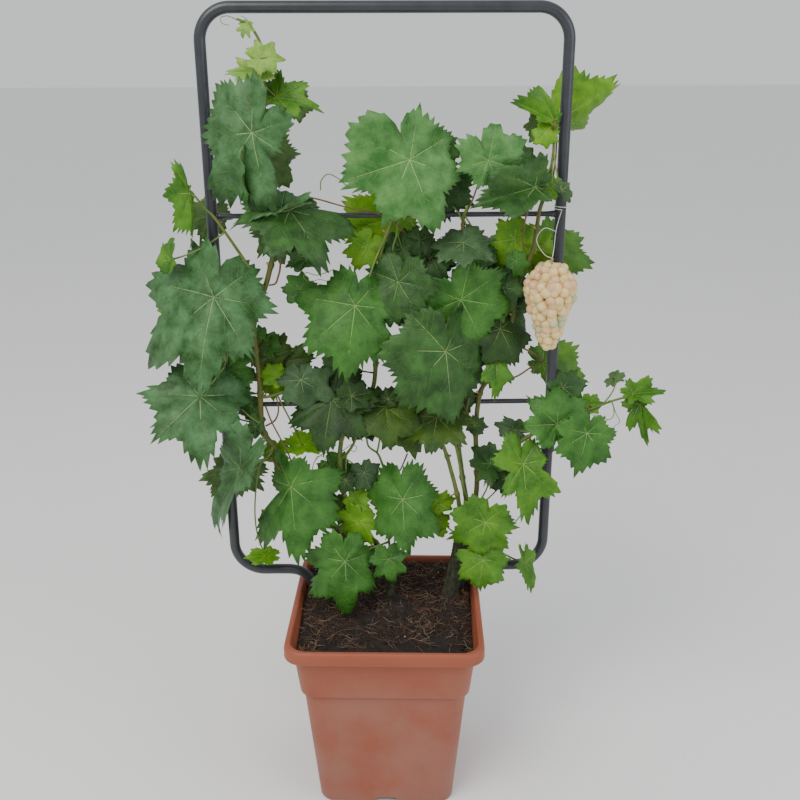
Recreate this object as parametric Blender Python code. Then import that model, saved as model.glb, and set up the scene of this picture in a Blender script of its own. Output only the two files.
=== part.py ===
"""A grapevine in a square plastic pot, trained over a tubular steel trellis, with one bunch of white grapes.

Places are in millimetres from the middle of the pot's underside: across to the right, up, and out from
the plane of the trellis towards the front. Angles are in degrees.
"""

import math
import random

import bmesh
import bpy
from mathutils import Matrix, Vector
from mathutils.bvhtree import BVHTree

MM = 0.001
GAP = 0.35
TRELLIS_BACK = 42.5

POT_HEIGHT = 268
POT_RIM_HALF = 130
POT_RIM_WIDTH = 10
POT_LIP = 18.5
POT_CORNER = 27
POT_BAND_TOP_HALF = 119.5
POT_BAND_FOOT_HALF = 112
POT_BAND_FOOT = 188
POT_BODY_HALF = 108
POT_BASE_HALF = 92
POT_FLOOR = 11
POT_WALL = 2.6
POT_TURN = -2.9
FOOT_NOTCH = (30, 42, 8)
DRAIN_RADIUS = 5
SOIL_TOP = 250
TRUNK_LIFT = 2.1

TUBE = 7
BAR = 3.25
LEFT_TUBE = -212
RIGHT_TUBE = 222
TRELLIS_TOP = 1034
UPPER_BAR = 794
LOWER_BAR = 545
FOOT_BAR = 296
TOP_BEND = 37
FOOT_BEND = 42
END_STRAIGHT = 3
SLEEVE = (478, 12, 9)

LEAF_THICK = 1.6
LEAF_DROOP = 0.12
LEAF_CLEAR = 0.5
LEAF_EDGE = ((0, 1.00), (24, 0.80), (48, 0.95), (72, 0.75), (98, 0.84), (143, 0.70), (172, 0.15))
SMALL_EDGE = ((0, 1.00), (30, 0.80), (54, 0.92), (100, 0.80), (145, 0.66), (172, 0.15))
SMALL_LEAF = 36
SEAT_STEP = 0.2
PETIOLE = 1.3
PETIOLE_STEPS = 3
PETIOLE_BOW = (0.35, 0.25)
PETIOLE_JOINT = (0.04, 0.01)
FEET_TRIED = 4
STEM_SIDES = 4

BUNCH_PLACE = (206, 46)
BUNCH_TOP = 733
BUNCH_DROP = 96
BUNCH_RADII = (15, 27, 27, 22, 17, 12, 6)
BERRY = 6.6
BERRY_APART = 14.6
CORE_SHARE = 0.8
STALK = (1.5, 14, 6)
GOLDEN_ANGLE = 137.5
STRING = 0.9
STRING_RING = (67, 0.94, 0.45, 16)

STEPS = (0, 3, -3, 6, -6, 9, -9, 13, -13, 18, -18, 24)
SWAYS = (
    (0, 0, 0), (0, -16, 0), (14, 0, 0), (-14, 0, 0), (0, 0, 14), (0, 16, 0), (22, -12, 0), (-22, -12, 0),
)
BACK_OUT = (-62, -26)
BACK_DROP = 0.36
BACK_SIZE = (0.62, 0.8)
BACK_TRIES = 8
BACKED_LEAF = 40
SEED = 11


def at(across, up, out=0.0):
    return Vector((across * MM, (TRELLIS_BACK - out) * MM, up * MM))


def clear_scene():
    for obj in list(bpy.data.objects):
        bpy.data.objects.remove(obj)


def material(name, colour, roughness, metallic=0.0):
    """A plain Principled material from an sRGB hex colour."""
    made = bpy.data.materials.get(name)
    if made:
        return made
    made = bpy.data.materials.new(name)
    made.use_nodes = True
    shader = made.node_tree.nodes["Principled BSDF"]
    linear = []
    for start in (0, 2, 4):
        level = int(colour[start : start + 2], 16) / 255
        linear.append(level / 12.92 if level <= 0.04045 else ((level + 0.055) / 1.055) ** 2.4)
    shader.inputs["Base Color"].default_value = (*linear, 1)
    shader.inputs["Roughness"].default_value = roughness
    shader.inputs["Metallic"].default_value = metallic
    return made


def new_object(name, shape, finish):
    points, faces = shape
    mesh = bpy.data.meshes.new(name)
    mesh.from_pydata([tuple(point) for point in points], [], faces)
    mesh.materials.append(finish)
    made = bpy.data.objects.new(name, mesh)
    bpy.context.scene.collection.objects.link(made)
    return made


# Shapes

def smooth(points, steps=4):
    """A Catmull-Rom curve through the points."""
    ends = [points[0] * 2 - points[1], *points, points[-1] * 2 - points[-2]]
    curve = []
    for a, b, c, d in zip(ends, ends[1:], ends[2:], ends[3:]):
        for step in range(steps):
            t = step / steps
            cubic = (3 * b - a - 3 * c + d) * t**3
            curve.append(0.5 * (2 * b + (c - a) * t + (2 * a - 5 * b + 4 * c - d) * t**2 + cubic))
    return curve + [points[-1]]


def tube(points, radii, sides):
    """A closed round tube along the points, its radius running through the radii, in millimetres."""
    if not isinstance(radii, (list, tuple)):
        radii = [radii] * len(points)
    if len(radii) == 2 and len(points) > 2:
        last = len(points) - 1
        radii = [radii[0] + (radii[1] - radii[0]) * i / last for i in range(len(points))]
    rings = []
    normal = None
    for i, point in enumerate(points):
        along = (points[min(i + 1, len(points) - 1)] - points[max(i - 1, 0)]).normalized()
        if normal is None:
            normal = along.orthogonal().normalized()
        normal = (normal - along * normal.dot(along)).normalized()
        binormal = along.cross(normal)
        turn = [2 * math.pi * side / sides for side in range(sides)]
        rings += [point + (normal * math.cos(a) + binormal * math.sin(a)) * radii[i] * MM for a in turn]
    faces = [list(range(sides))[::-1]]
    for i in range(len(points) - 1):
        for side in range(sides):
            after = (side + 1) % sides
            low, high = i * sides, (i + 1) * sides
            faces.append([low + side, low + after, high + after, high + side])
    faces.append([(len(points) - 1) * sides + side for side in range(sides)])
    return rings, faces


def bend(centre_across, centre_up, radius, start, end, steps=5):
    """Points of an arc in the plane of the trellis."""
    turn = [math.radians(start + (end - start) * i / steps) for i in range(steps + 1)]
    return [at(centre_across + radius * math.cos(a), centre_up + radius * math.sin(a)) for a in turn]


def square_ring(half, corner, up, steps=3):
    points = []
    for quarter in range(4):
        for step in range(steps + 1):
            a = math.radians(90 * quarter + 90 * step / steps)
            middle = math.radians(90 * quarter + 45)
            x = math.copysign(half - corner, math.cos(middle)) + corner * math.cos(a)
            y = math.copysign(half - corner, math.sin(middle)) + corner * math.sin(a)
            points.append(Vector((x, y, up)) * MM)
    return points


def stack(rings):
    """A closed solid through rings of equal counts, capped at both ends."""
    count = len(rings[0])
    points = [point for ring in rings for point in ring]
    faces = [list(range(count))[::-1]]
    for level in range(len(rings) - 1):
        for i in range(count):
            j = (i + 1) % count
            low, high = level * count, (level + 1) * count
            faces.append([low + i, low + j, high + j, high + i])
    faces.append([(len(rings) - 1) * count + i for i in range(count)])
    return points, faces


def turned(shape, degrees):
    matrix = Matrix.Rotation(math.radians(degrees), 4, "Z")
    return [matrix @ point for point in shape[0]], shape[1]


def leaf_axes(turn, swing, tilt):
    """Midrib, side and face directions of a leaf whose tip hangs down, turned to the right by turn, whose
    face looks to the front, swung to the right by swing and tilted up by tilt."""
    turn, swing, tilt = (math.radians(angle) for angle in (turn, swing, tilt))
    face = Vector((math.sin(swing) * math.cos(tilt), -math.cos(swing) * math.cos(tilt), math.sin(tilt)))
    down = Vector((0, 0, -1))
    down = (down - face * down.dot(face)).normalized()
    midrib = down * math.cos(turn) + face.cross(down) * math.sin(turn)
    return midrib, face.cross(midrib), face


def leaf_plate(hub, length, turn, swing, tilt, fold, spare=0.0):
    """A thin lobed plate, its halves folded towards its face about the midrib, its tip drooping."""
    midrib, side, face = leaf_axes(turn, swing, tilt)
    midrib = (midrib - face * LEAF_DROOP).normalized()
    fold = math.radians(fold)
    half_edge = LEAF_EDGE if length > SMALL_LEAF else SMALL_EDGE
    edge = list(half_edge) + [(-angle, reach) for angle, reach in half_edge[:0:-1]]
    half_thick = (LEAF_THICK / 2 + spare) * MM
    size = (length + spare) * MM
    rim = []
    for angle, reach in edge:
        along = size * reach * math.cos(math.radians(angle))
        aside = size * reach * math.sin(math.radians(angle))
        lift = abs(aside) * math.sin(fold)
        rim.append(hub + midrib * along + side * aside * math.cos(fold) + face * lift)
    count = len(rim)
    points = [point + face * half_thick for point in rim] + [point - face * half_thick for point in rim]
    points += [hub + face * half_thick, hub - face * half_thick]
    faces = []
    for i in range(count):
        j = (i + 1) % count
        faces += [[2 * count, j, i], [2 * count + 1, count + i, count + j], [i, j, count + j, count + i]]
    return points, faces


def tree_of(shape):
    return BVHTree.FromPolygons([tuple(point) for point in shape[0]], shape[1])


# Joining

def outward(mesh):
    work = bmesh.new()
    work.from_mesh(mesh)
    bmesh.ops.recalc_face_normals(work, faces=work.faces)
    if work.calc_volume(signed=True) < 0:
        bmesh.ops.reverse_faces(work, faces=work.faces)
    work.to_mesh(mesh)
    work.free()


def keep_largest(mesh, merge):
    """Drops loose scraps and turned-in hollows that a union may leave, and says whether it is closed.
    With merge, points that all but touch and flat neighbouring faces are made one first."""
    work = bmesh.new()
    work.from_mesh(mesh)
    if merge:
        bmesh.ops.remove_doubles(work, verts=work.verts, dist=0.00001)
        bmesh.ops.dissolve_degenerate(work, edges=work.edges, dist=0.00001)
    left = set(work.faces)
    groups = []
    while left:
        group = {left.pop()}
        front = list(group)
        while front:
            near = {face for edge in front.pop().edges for face in edge.link_faces} & left
            left -= near
            group |= near
            front += near
        groups.append(group)
    groups.sort(key=lambda group: -sum(face.calc_area() for face in group))
    spare = [face for group in groups[1:] for face in group]
    bmesh.ops.delete(work, geom=spare, context="FACES")
    if merge:
        bmesh.ops.dissolve_limit(work, angle_limit=0.01, verts=work.verts, edges=work.edges)
    bmesh.ops.triangulate(work, faces=work.faces)
    closed = all(edge.is_manifold for edge in work.edges) and all(vert.is_manifold for vert in work.verts)
    work.to_mesh(mesh)
    work.free()
    return closed


def combine(body, others, operation="UNION"):
    """One Boolean of the body with a collection of solids, applied, with the solids then removed."""
    group = bpy.data.collections.new(body.name + "_solids")
    bpy.context.scene.collection.children.link(group)
    for i, shape in enumerate(others):
        solid = new_object(f"{body.name}_solid_{i}", shape, body.data.materials[0])
        outward(solid.data)
        bpy.context.scene.collection.objects.unlink(solid)
        group.objects.link(solid)
    join = body.modifiers.new("join", "BOOLEAN")
    join.operation = operation
    join.operand_type = "COLLECTION"
    join.collection = group
    for solver, merge in (("EXACT", True), ("EXACT", False), ("MANIFOLD", True), ("MANIFOLD", False)):
        join.solver = solver
        graph = bpy.context.evaluated_depsgraph_get()
        mesh = bpy.data.meshes.new_from_object(body.evaluated_get(graph), depsgraph=graph)
        if keep_largest(mesh, merge):
            break
    body.modifiers.remove(join)
    body.data = mesh
    for solid in list(group.objects):
        bpy.data.objects.remove(solid)
    bpy.data.collections.remove(group)


def take(body):
    """Keeps the finished solid's surface, which later shapes stay clear of."""
    mesh = body.data
    taken[body.name] = tree_of(([v.co for v in mesh.vertices], [list(p.vertices) for p in mesh.polygons]))


def solid_node(name, shape, finish):
    made = new_object(name, shape, finish)
    outward(made.data)
    taken[name] = tree_of(shape)
    return made


# Pot and potting mix

def inside_levels(spare):
    """Half width, corner and height up the inside of the pot, drawn in by the spare."""
    wall = POT_WALL + spare
    return (
        (POT_BASE_HALF - wall, 18, POT_FLOOR + spare),
        (POT_BODY_HALF - wall, 20, POT_BAND_FOOT - 3),
        (POT_BAND_FOOT_HALF - wall, 20, POT_BAND_FOOT),
        (POT_BAND_TOP_HALF - wall, 21, POT_HEIGHT - POT_LIP),
    )


def make_pot():
    terracotta = material("terracotta_plastic", "B0694A", 0.5)
    lip_foot = POT_HEIGHT - POT_LIP
    levels = (
        (POT_BASE_HALF, 20, 0),
        (POT_BODY_HALF, 23, POT_BAND_FOOT - 3),
        (POT_BAND_FOOT_HALF, 23, POT_BAND_FOOT),
        (POT_BAND_TOP_HALF, 24, lip_foot),
        (POT_RIM_HALF, POT_CORNER, lip_foot),
        (POT_RIM_HALF, POT_CORNER, POT_HEIGHT - 1.5),
        (POT_RIM_HALF - 1.5, POT_CORNER, POT_HEIGHT),
        (POT_RIM_HALF - POT_RIM_WIDTH, 22, POT_HEIGHT),
        *reversed(inside_levels(0)),
    )
    pot = new_object("pot", turned(stack([square_ring(*level) for level in levels]), POT_TURN), terracotta)
    outward(pot.data)
    width, reach, height = FOOT_NOTCH
    cutters = []
    for side in range(4):
        box = []
        for up in (-1, height):
            near, far = POT_BASE_HALF - reach, POT_BASE_HALF + 8
            corners = ((near, -width / 2), (far, -width / 2), (far, width / 2), (near, width / 2))
            box.append([Vector((x, y, up)) * MM for x, y in corners])
        cutters.append(turned(stack(box), POT_TURN + 90 * side))
        hole = [Vector((POT_BASE_HALF - reach + 12, 0, up)) * MM for up in (-1, POT_FLOOR + 1)]
        cutters.append(turned(tube(hole, DRAIN_RADIUS, 10), POT_TURN + 90 * side))
    combine(pot, cutters, "DIFFERENCE")
    take(pot)


def make_soil(wells):
    mix = material("potting_mix", "3B2A20", 0.95)
    levels = inside_levels(2 * GAP)
    rings = [square_ring(*level) for level in (*levels, (*levels[-1][:2], SOIL_TOP))]
    soil = new_object("potting_mix", turned(stack(rings), POT_TURN), mix)
    outward(soil.data)
    combine(soil, wells, "DIFFERENCE")
    take(soil)


# Trellis

def make_trellis():
    """A hoop of coated tube in five lengths, with two cross bars. Returns the wells of its legs."""
    steel = material("coated_steel", "3A3D42", 0.38, 0.3)
    shoulder = TRELLIS_TOP - TOP_BEND
    top = [at(LEFT_TUBE, shoulder - END_STRAIGHT)]
    top += bend(LEFT_TUBE + TOP_BEND, shoulder, TOP_BEND, 180, 90)
    top += bend(RIGHT_TUBE - TOP_BEND, shoulder, TOP_BEND, 90, 0)
    top.append(at(RIGHT_TUBE, shoulder - END_STRAIGHT))
    solid_node("trellis_top", tube(top, TUBE, 10), steel)
    ankle = FOOT_BAR + FOOT_BEND
    sleeve_up, sleeve_tall, sleeve_radius = SLEEVE
    for name, across in (("left", LEFT_TUBE), ("right", RIGHT_TUBE)):
        foot, head = ankle + END_STRAIGHT + GAP, shoulder - END_STRAIGHT - GAP
        ups = (foot, sleeve_up - sleeve_tall / 2, sleeve_up + sleeve_tall / 2, head)
        points = [at(across, up) for up in (ups[0], ups[1], ups[1] + 0.5, ups[2] - 0.5, ups[2], ups[3])]
        radii = [TUBE, TUBE, sleeve_radius, sleeve_radius, TUBE, TUBE]
        solid_node(f"trellis_upright_{name}", tube(points, radii, 10), steel)
    legs = {
        "left": ((-140, 296), (-124, 293), (-111, 283), (-103, 266), (-98, 250), (-89, 215), (-84, 192)),
        "right": ((140, 296), (122, 293), (111, 282), (105, 265), (102, 249), (96, 215), (91, 192)),
    }
    wells = []
    for name, across, inward in (("left", LEFT_TUBE, 1), ("right", RIGHT_TUBE, -1)):
        start = 180 if name == "left" else 0
        curve = [at(across, ankle + END_STRAIGHT)]
        curve += bend(across + inward * FOOT_BEND, ankle, FOOT_BEND, start, 270 if name == "left" else -90)
        leg = [at(*point) for point in legs[name]]
        solid_node(f"trellis_foot_{name}", tube(curve + leg, TUBE, 10), steel)
        well = [at(*point) for point in legs[name][4:]]
        well[0] += (well[0] - well[1]) * 0.5
        well.append(well[-1] + (well[-1] - well[-2]).normalized() * MM)
        wells.append(tube(well, TUBE + 1.0, 10))
    for name, up in (("upper", UPPER_BAR), ("lower", LOWER_BAR)):
        reach = TUBE + GAP
        bar = [at(LEFT_TUBE + reach, up), at(RIGHT_TUBE - reach, up)]
        solid_node(f"trellis_bar_{name}", tube(bar, BAR, 8), steel)
    return wells


# Trunks and canes

def seated(tree, path, radius, sides):
    """The path from where it leaves the tree, its first point drawn back until the cut end just clears it."""
    reach = (SEAT_STEP + GAP) * MM

    def meets(place, along):
        end = tube([place - along * reach, place + along * reach], radius + GAP / 2, sides)
        return bool(tree.overlap(tree_of(end)))

    while meets(path[1], (path[1] - path[0]).normalized()):
        path = path[1:]
    along = (path[1] - path[0]).normalized()
    place = (path[1] - path[0]).length
    while place > 0 and not meets(path[0] + along * place, along):
        place -= SEAT_STEP * MM
    return [path[0] + along * place, *path[1:]]


def limb(name, carrier, places, radii, colour, sides=5):
    """A trunk or cane: one tapering tube that starts just clear of what carries it."""
    path = smooth([at(*place) for place in places], 2)
    if carrier:
        path = seated(taken[carrier], path, radii[0], sides)
    solid_node(name, tube(path, radii, sides), material(name + "_bark", colour, 0.8))


def make_limbs():
    soil_face = SOIL_TOP + TRUNK_LIFT
    right_trunk = ((88, soil_face, 15), (94, 280, 15), (101, 314, 13), (109, 356, 11), (117, 394, 9))
    limb("trunk_right", None, right_trunk, (8.6, 7.6), "5F5A42", 9)
    left_trunk = ((5, soil_face, 14), (5, 277, 12), (3, 305, 9), (2, 322, 6))
    limb("trunk_left", None, left_trunk, (4.6, 4.0), "66683F")
    left = (
        (4, 292, 11), (-22, 326, 14), (-70, 366, 12), (-118, 412, 10), (-131, 456, 10), (-149, 488, 11),
        (-163, 517, 12), (-163, 583, 12), (-167, 645, 12), (-163, 670, 11), (-147, 714, 11), (-136, 755, 12),
        (-132, 793, 12), (-132, 831, 12), (-139, 868, 12),
    )
    limb("cane_left", "trunk_left", left, (4.4, 3.0), "7A7A3C")
    centre = (
        (2, 320, 6), (-12, 336, 6), (-24, 352, 6), (-54, 408, 8), (-60, 440, 9), (-61, 479, 10),
        (-50, 527, 9), (-18, 563, 9), (-11, 609, 9), (-7, 687, 9), (-4, 743, 9), (6, 778, 10), (14, 796, 11),
    )
    limb("cane_centre", "trunk_left", centre, (3.4, 2.6), "6C7A3A")
    centre_right = (
        (113, 388, 9), (110, 412, 8), (105, 440, 8), (97, 507, 9), (98, 563, 9), (101, 647, 9),
        (100, 738, 9), (99, 784, 9),
    )
    limb("cane_centre_right", "trunk_right", centre_right, (3.6, 2.4), "77803A")
    right = (
        (121, 388, 9), (125, 415, 8), (125, 450, 7), (122, 506, 8), (127, 563, 10), (146, 590, 11),
        (161, 630, 11), (169, 700, 12), (177, 724, 12), (188, 753, 12), (192, 787, 12), (194, 802, 12),
        (202, 828, 11), (205, 845, 10),
    )
    limb("cane_right", "trunk_right", right, (3.6, 2.4), "7A6A36")
    far_right = (
        (124, 432, 8), (140, 452, 12), (162, 476, 16), (194, 502, 18), (222, 517, 19), (240, 525, 19),
    )
    limb("cane_far_right", "cane_right", far_right, (2.8, 2.3), "8A7A40")
    front = ((115, 378, 10), (103, 392, 18), (97, 420, 20), (84, 470, 20), (72, 506, 20))
    limb("cane_front", "trunk_right", front, (3.2, 2.4), "748038")


# Masses of leaves

def petiole_points(hub, face, foot, sway):
    """From a point of the stem, curving in behind the leaf's face to its hub, and swaying to one side."""
    along, behind = PETIOLE_BOW
    bow = hub + (foot - hub) * along - face * (hub - foot).length * behind + sway
    curve = []
    for step in range(PETIOLE_STEPS + 1):
        t = step / PETIOLE_STEPS
        curve.append(foot * (1 - t) ** 2 + bow * 2 * t * (1 - t) + hub * t**2)
    return curve


def fits(name, shape, own=()):
    tree = tree_of(shape)
    others = [other for node, other in taken.items() if node != name]
    return not any(tree.overlap(other) for other in [*others, *own])


def place_leaf(name, stem, row, placed, crossing):
    """Adds the leaf and its petiole at the first small step out or back at which both keep clear, if any.
    A second round lets a leading leaf cross the other leaves of its own mass."""
    across, up, out, length, turn, swing, tilt, fold = row
    midrib, side, face = leaf_axes(turn, swing, tilt)
    down, aside = PETIOLE_JOINT
    own = [tree_of(shape) for shape in placed]
    for avoided in ((own, ()) if crossing else (own,)):
        for step in STEPS:
            hub = at(across, up, out + step)
            if not fits(name, leaf_plate(hub, length, turn, swing, tilt, fold, LEAF_CLEAR), avoided):
                continue
            joint = hub + (midrib * down + side * aside) * length * MM
            for foot in sorted(stem, key=lambda point: (point - hub).length)[:FEET_TRIED]:
                for sway in SWAYS:
                    stalk = petiole_points(joint, face, foot, Vector(sway) * MM)
                    if fits(name, tube(stalk, PETIOLE + LEAF_CLEAR, 3), avoided):
                        placed.append(leaf_plate(hub, length, turn, swing, tilt, fold))
                        placed.append(tube(stalk, PETIOLE, 3))
                        return True
    if crossing:
        print(f"{name}: no clear place for the leaf at {across:.0f}, {up:.0f}, {out:.0f}")
    return False


def partner(row, chance):
    """The leaf that hangs behind a leading leaf, hidden by it from the front, and faces the back."""
    across, up, out, length, turn = row[:5]
    behind = chance.uniform(*BACK_OUT)
    drop = (out - behind) * BACK_DROP
    return (
        across + chance.uniform(-22, 22), up - drop + chance.uniform(-14, 18), behind,
        length * chance.uniform(*BACK_SIZE), turn * -0.5 + chance.uniform(-30, 30),
        180 + chance.uniform(-28, 28), chance.uniform(12, 34), chance.uniform(-18, 12),
    )


def make_mass(name, carrier, colour, places, leaves, stem_radii=(2.4, 1.6)):
    """One stem off its cane, its leading leaves and the seeded leaves behind them, fused to one solid."""
    chance = random.Random(f"{SEED}{name}")
    path = smooth([at(*place) for place in places], 2)
    path = seated(taken[carrier], path, stem_radii[0], STEM_SIDES)
    body = new_object(name, tube(path, stem_radii, STEM_SIDES), material(name, colour, 0.55))
    outward(body.data)
    placed = []
    for row in leaves:
        place_leaf(name, path[1:], row, placed, True)
    for row in leaves:
        if row[3] < BACKED_LEAF:
            continue
        for _ in range(BACK_TRIES):
            if place_leaf(name, path, partner(row, chance), placed, False):
                break
    combine(body, placed)
    take(body)


# Name, cane, colour, places of the stem, and leading leaves. Each leaf is across, up, out, length from
# its stalk to its tip, turn, swing, tilt and fold
MASSES = (
    (
        "leaves_left", "cane_left", "587F60",
        ((-166, 640, 12), (-182, 644, 20), (-196, 632, 26), (-206, 606, 24)),
        (
            (-208, 704, 52, 112, -11, -3, 30, -18),
            (-236, 573, 44, 87, -5, 15, 36, -6),
            (-158, 629, 6, 32, -27, 0, 22, 10),
        ),
    ),
    (
        "leaves_heart", "cane_centre_right", "4A7048",
        ((101, 650, 9), (92, 640, 20), (84, 612, 28), (80, 570, 26)),
        (
            (76, 634, 60, 94, 3, 20, 10, -18),
            (90, 646, 30, 16, 35, 0, 24, 0),
            (68, 536, 34, 56, 0, -15, 58, -10),
            (119, 518, 16, 18, 85, -5, 24, 10),
            (1, 549, 24, 46, -2, 10, 50, 0),
            (96, 694, 36, 64, 28, 0, 5, 0),
        ),
    ),
    (
        "leaves_centre", "cane_centre", "4F8045",
        ((-7, 690, 9), (-14, 698, 18), (-28, 704, 24), (-44, 704, 24)),
        (
            (-36, 691, 50, 86, -10, 5, 26, -18),
            (18, 716, 26, 58, -10, -20, 20, 0),
            (-106, 700, 6, 27, -145, 0, 25, 0),
        ),
    ),
    (
        "leaves_top_centre", "cane_centre", "6F9A66",
        ((14, 797, 11), (22, 818, 14), (28, 842, 20), (24, 858, 26)),
        (
            (31, 866, 50, 92, 22, 10, 5, -8),
            (66, 876, 22, 30, 80, 0, 24, 0),
            (-13, 849, 20, 22, -90, 0, 28, 25),
            (1, 782, -24, 64, -80, 20, 20, 24),
            (46, 764, 8, 29, 0, 0, 24, 32),
        ),
    ),
    (
        "leaves_centre_right", "cane_centre_right", "557A4C",
        ((99, 783, 9), (99, 792, 14), (101, 800, 18), (104, 808, 18)),
        (
            (98, 765, 16, 44, 10, -15, 62, 0),
            (134, 722, 16, 32, 85, -20, 50, 0),
        ),
    ),
    (
        "leaves_low_left", "cane_left", "4F8A42",
        ((-150, 490, 11), (-152, 484, 22), (-160, 478, 28), (-172, 476, 30)),
        (
            (-125, 448, 50, 105, 8, -15, 18, -30),
            (-192, 470, 38, 92, -30, -40, 15, 38),
            (-146, 471, -10, 27, -105, 5, 20, 20),
            (-166, 327, 18, 30, -92, 10, 30, 40),
        ),
    ),
    (
        "leaves_foot_centre", "trunk_left", "5A8A40",
        ((4, 300, 9), (6, 318, 18), (4, 350, 26), (0, 384, 30)),
        (
            (-56, 341, 62, 76, 0, 10, 18, -22),
            (22, 427, 52, 76, 4, -5, 24, -28),
            (3, 333, 44, 34, 8, -5, 25, 10),
            (-38, 380, 16, 38, -15, -15, 16, 0),
            (75, 359, 14, 12, 130, -5, 23, 0),
        ),
    ),
    (
        "leaves_foot_right", "trunk_right", "62953F",
        ((109, 350, 11), (118, 348, 20), (134, 342, 26), (156, 334, 26)),
        (
            (134, 388, 46, 50, -12, -5, 12, 8),
            (132, 331, 50, 44, -8, 0, 23, 8),
            (193, 318, 34, 44, 5, 50, 20, 26),
        ),
    ),
    (
        "leaves_low_right", "cane_right", "5F9A3C",
        ((124, 450, 7), (136, 446, 0), (150, 450, 0), (166, 458, 6)),
        (
            (182, 472, 44, 76, 0, 10, 28, 26),
            (141, 463, 18, 34, -140, 10, 20, 18),
            (163, 441, 18, 26, -5, 5, 26, 10),
        ),
    ),
    (
        "leaves_far_right", "cane_far_right", "5B9440",
        ((240, 525, 19), (252, 530, 19), (276, 540, 18), (300, 549, 17), (322, 556, 18)),
        (
            (261, 520, 44, 53, -12, 10, 10, 6),
            (225, 526, 30, 52, 178, 0, 15, 0),
            (270, 543, 12, 21, 95, -10, 20, 20),
            (327, 560, 20, 42, 102, -20, 35, 36),
            (332, 550, 22, 22, -18, 20, 16, 22),
            (337, 547, 24, 56, 20, -45, 10, 34),
        ),
    ),
    (
        "leaves_left_inner", "cane_left", "3E6238",
        ((-163, 560, 12), (-152, 562, 18), (-128, 570, 20), (-98, 570, 20)),
        (
            (-69, 562, 30, 70, -5, -10, 35, 0),
            (-108, 588, 22, 44, 10, 0, 20, 0),
            (-150, 577, -14, 29, 5, -10, 22, 0),
            (-112, 482, -6, 42, 98, -10, 40, 40),
            (-43, 569, 40, 32, 100, 0, 24, 24),
        ),
    ),
    (
        "leaves_inner_low", "cane_centre", "41663C",
        ((-61, 470, 10), (-52, 478, 16), (-40, 500, 20), (-34, 530, 20)),
        (
            (4, 559, 20, 17, 145, 0, 20, 0),
            (-29, 449, 16, 28, 20, 0, 15, 0),
            (-54, 442, 24, 20, -15, 5, 24, 18),
        ),
    ),
    (
        "leaves_top_left", "cane_left", "7DA060",
        ((-139, 868, 12), (-140, 876, 12), (-141, 920, 12), (-138, 976, 10), (-141, 996, 10),
        (-152, 1014, 11), (-166, 1021, 12)),
        (
            (-150, 898, 58, 88, -38, -25, 10, 0),
            (-162, 858, 46, 44, -2, -55, 10, 37),
            (-124, 935, 16, 55, 78, -15, 45, 32),
            (-146, 962, 20, 34, -95, 5, 30, 37),
            (-139, 978, 12, 27, 90, 0, 20, 18),
            (-156, 1012, 14, 13, -25, -5, 20, 0),
        ),
    ),
    (
        "leaves_shoulder_left", "cane_left", "3F6A45",
        ((-132, 800, 12), (-128, 808, 20), (-120, 812, 26), (-112, 812, 28)),
        (
            (-113, 806, 40, 82, 22, 15, 52, 0),
            (-122, 808, 34, 64, -68, -20, 60, 50),
        ),
    ),
    (
        "leaves_side_left", "cane_left", "649A45",
        ((-150, 706, 11), (-160, 716, 18), (-170, 738, 20), (-183, 760, 20), (-205, 795, 21),
        (-216, 807, 22), (-226, 822, 26)),
        (
            (-232, 826, 30, 68, 4, 50, 8, -26),
            (-263, 745, 24, 29, -175, -45, 10, 26),
        ),
    ),
    (
        "leaves_top_right", "cane_right", "6C9C4C",
        ((205, 845, 10), (206, 852, 9), (208, 872, 8), (207, 890, 8), (206, 902, 8)),
        (
            (214, 903, -18, 96, 120, 5, 5, -38),
            (125, 864, 42, 50, 22, 5, 10, 0),
            (182, 832, 22, 80, -78, 15, 20, 41),
            (207, 906, 8, 56, -118, -10, 20, 41),
            (199, 893, 18, 20, -50, 0, 26, 0),
            (205, 829, 24, 21, -130, 5, 20, 0),
            (217, 826, 22, 19, 30, 15, 26, 37),
        ),
    ),
    (
        "leaves_right_back", "cane_right", "6E9E36",
        ((169, 700, 12), (176, 698, 2), (188, 706, -14), (198, 724, -22)),
        (
            (219, 742, -36, 64, 70, 10, 15, -22),
            (196, 746, -24, 48, -115, 0, 15, -26),
        ),
    ),
    (
        "leaves_right", "cane_right", "3F6A30",
        ((161, 630, 11), (156, 634, 18), (152, 636, 20), (148, 630, 20)),
        (
            (212, 592, -24, 56, 65, 0, 10, -34),
            (150, 652, 10, 46, 35, 28, 25, -18),
            (144, 608, 20, 42, -5, 15, 30, 18),
        ),
    ),
)


# Bunch of grapes and its string

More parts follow.
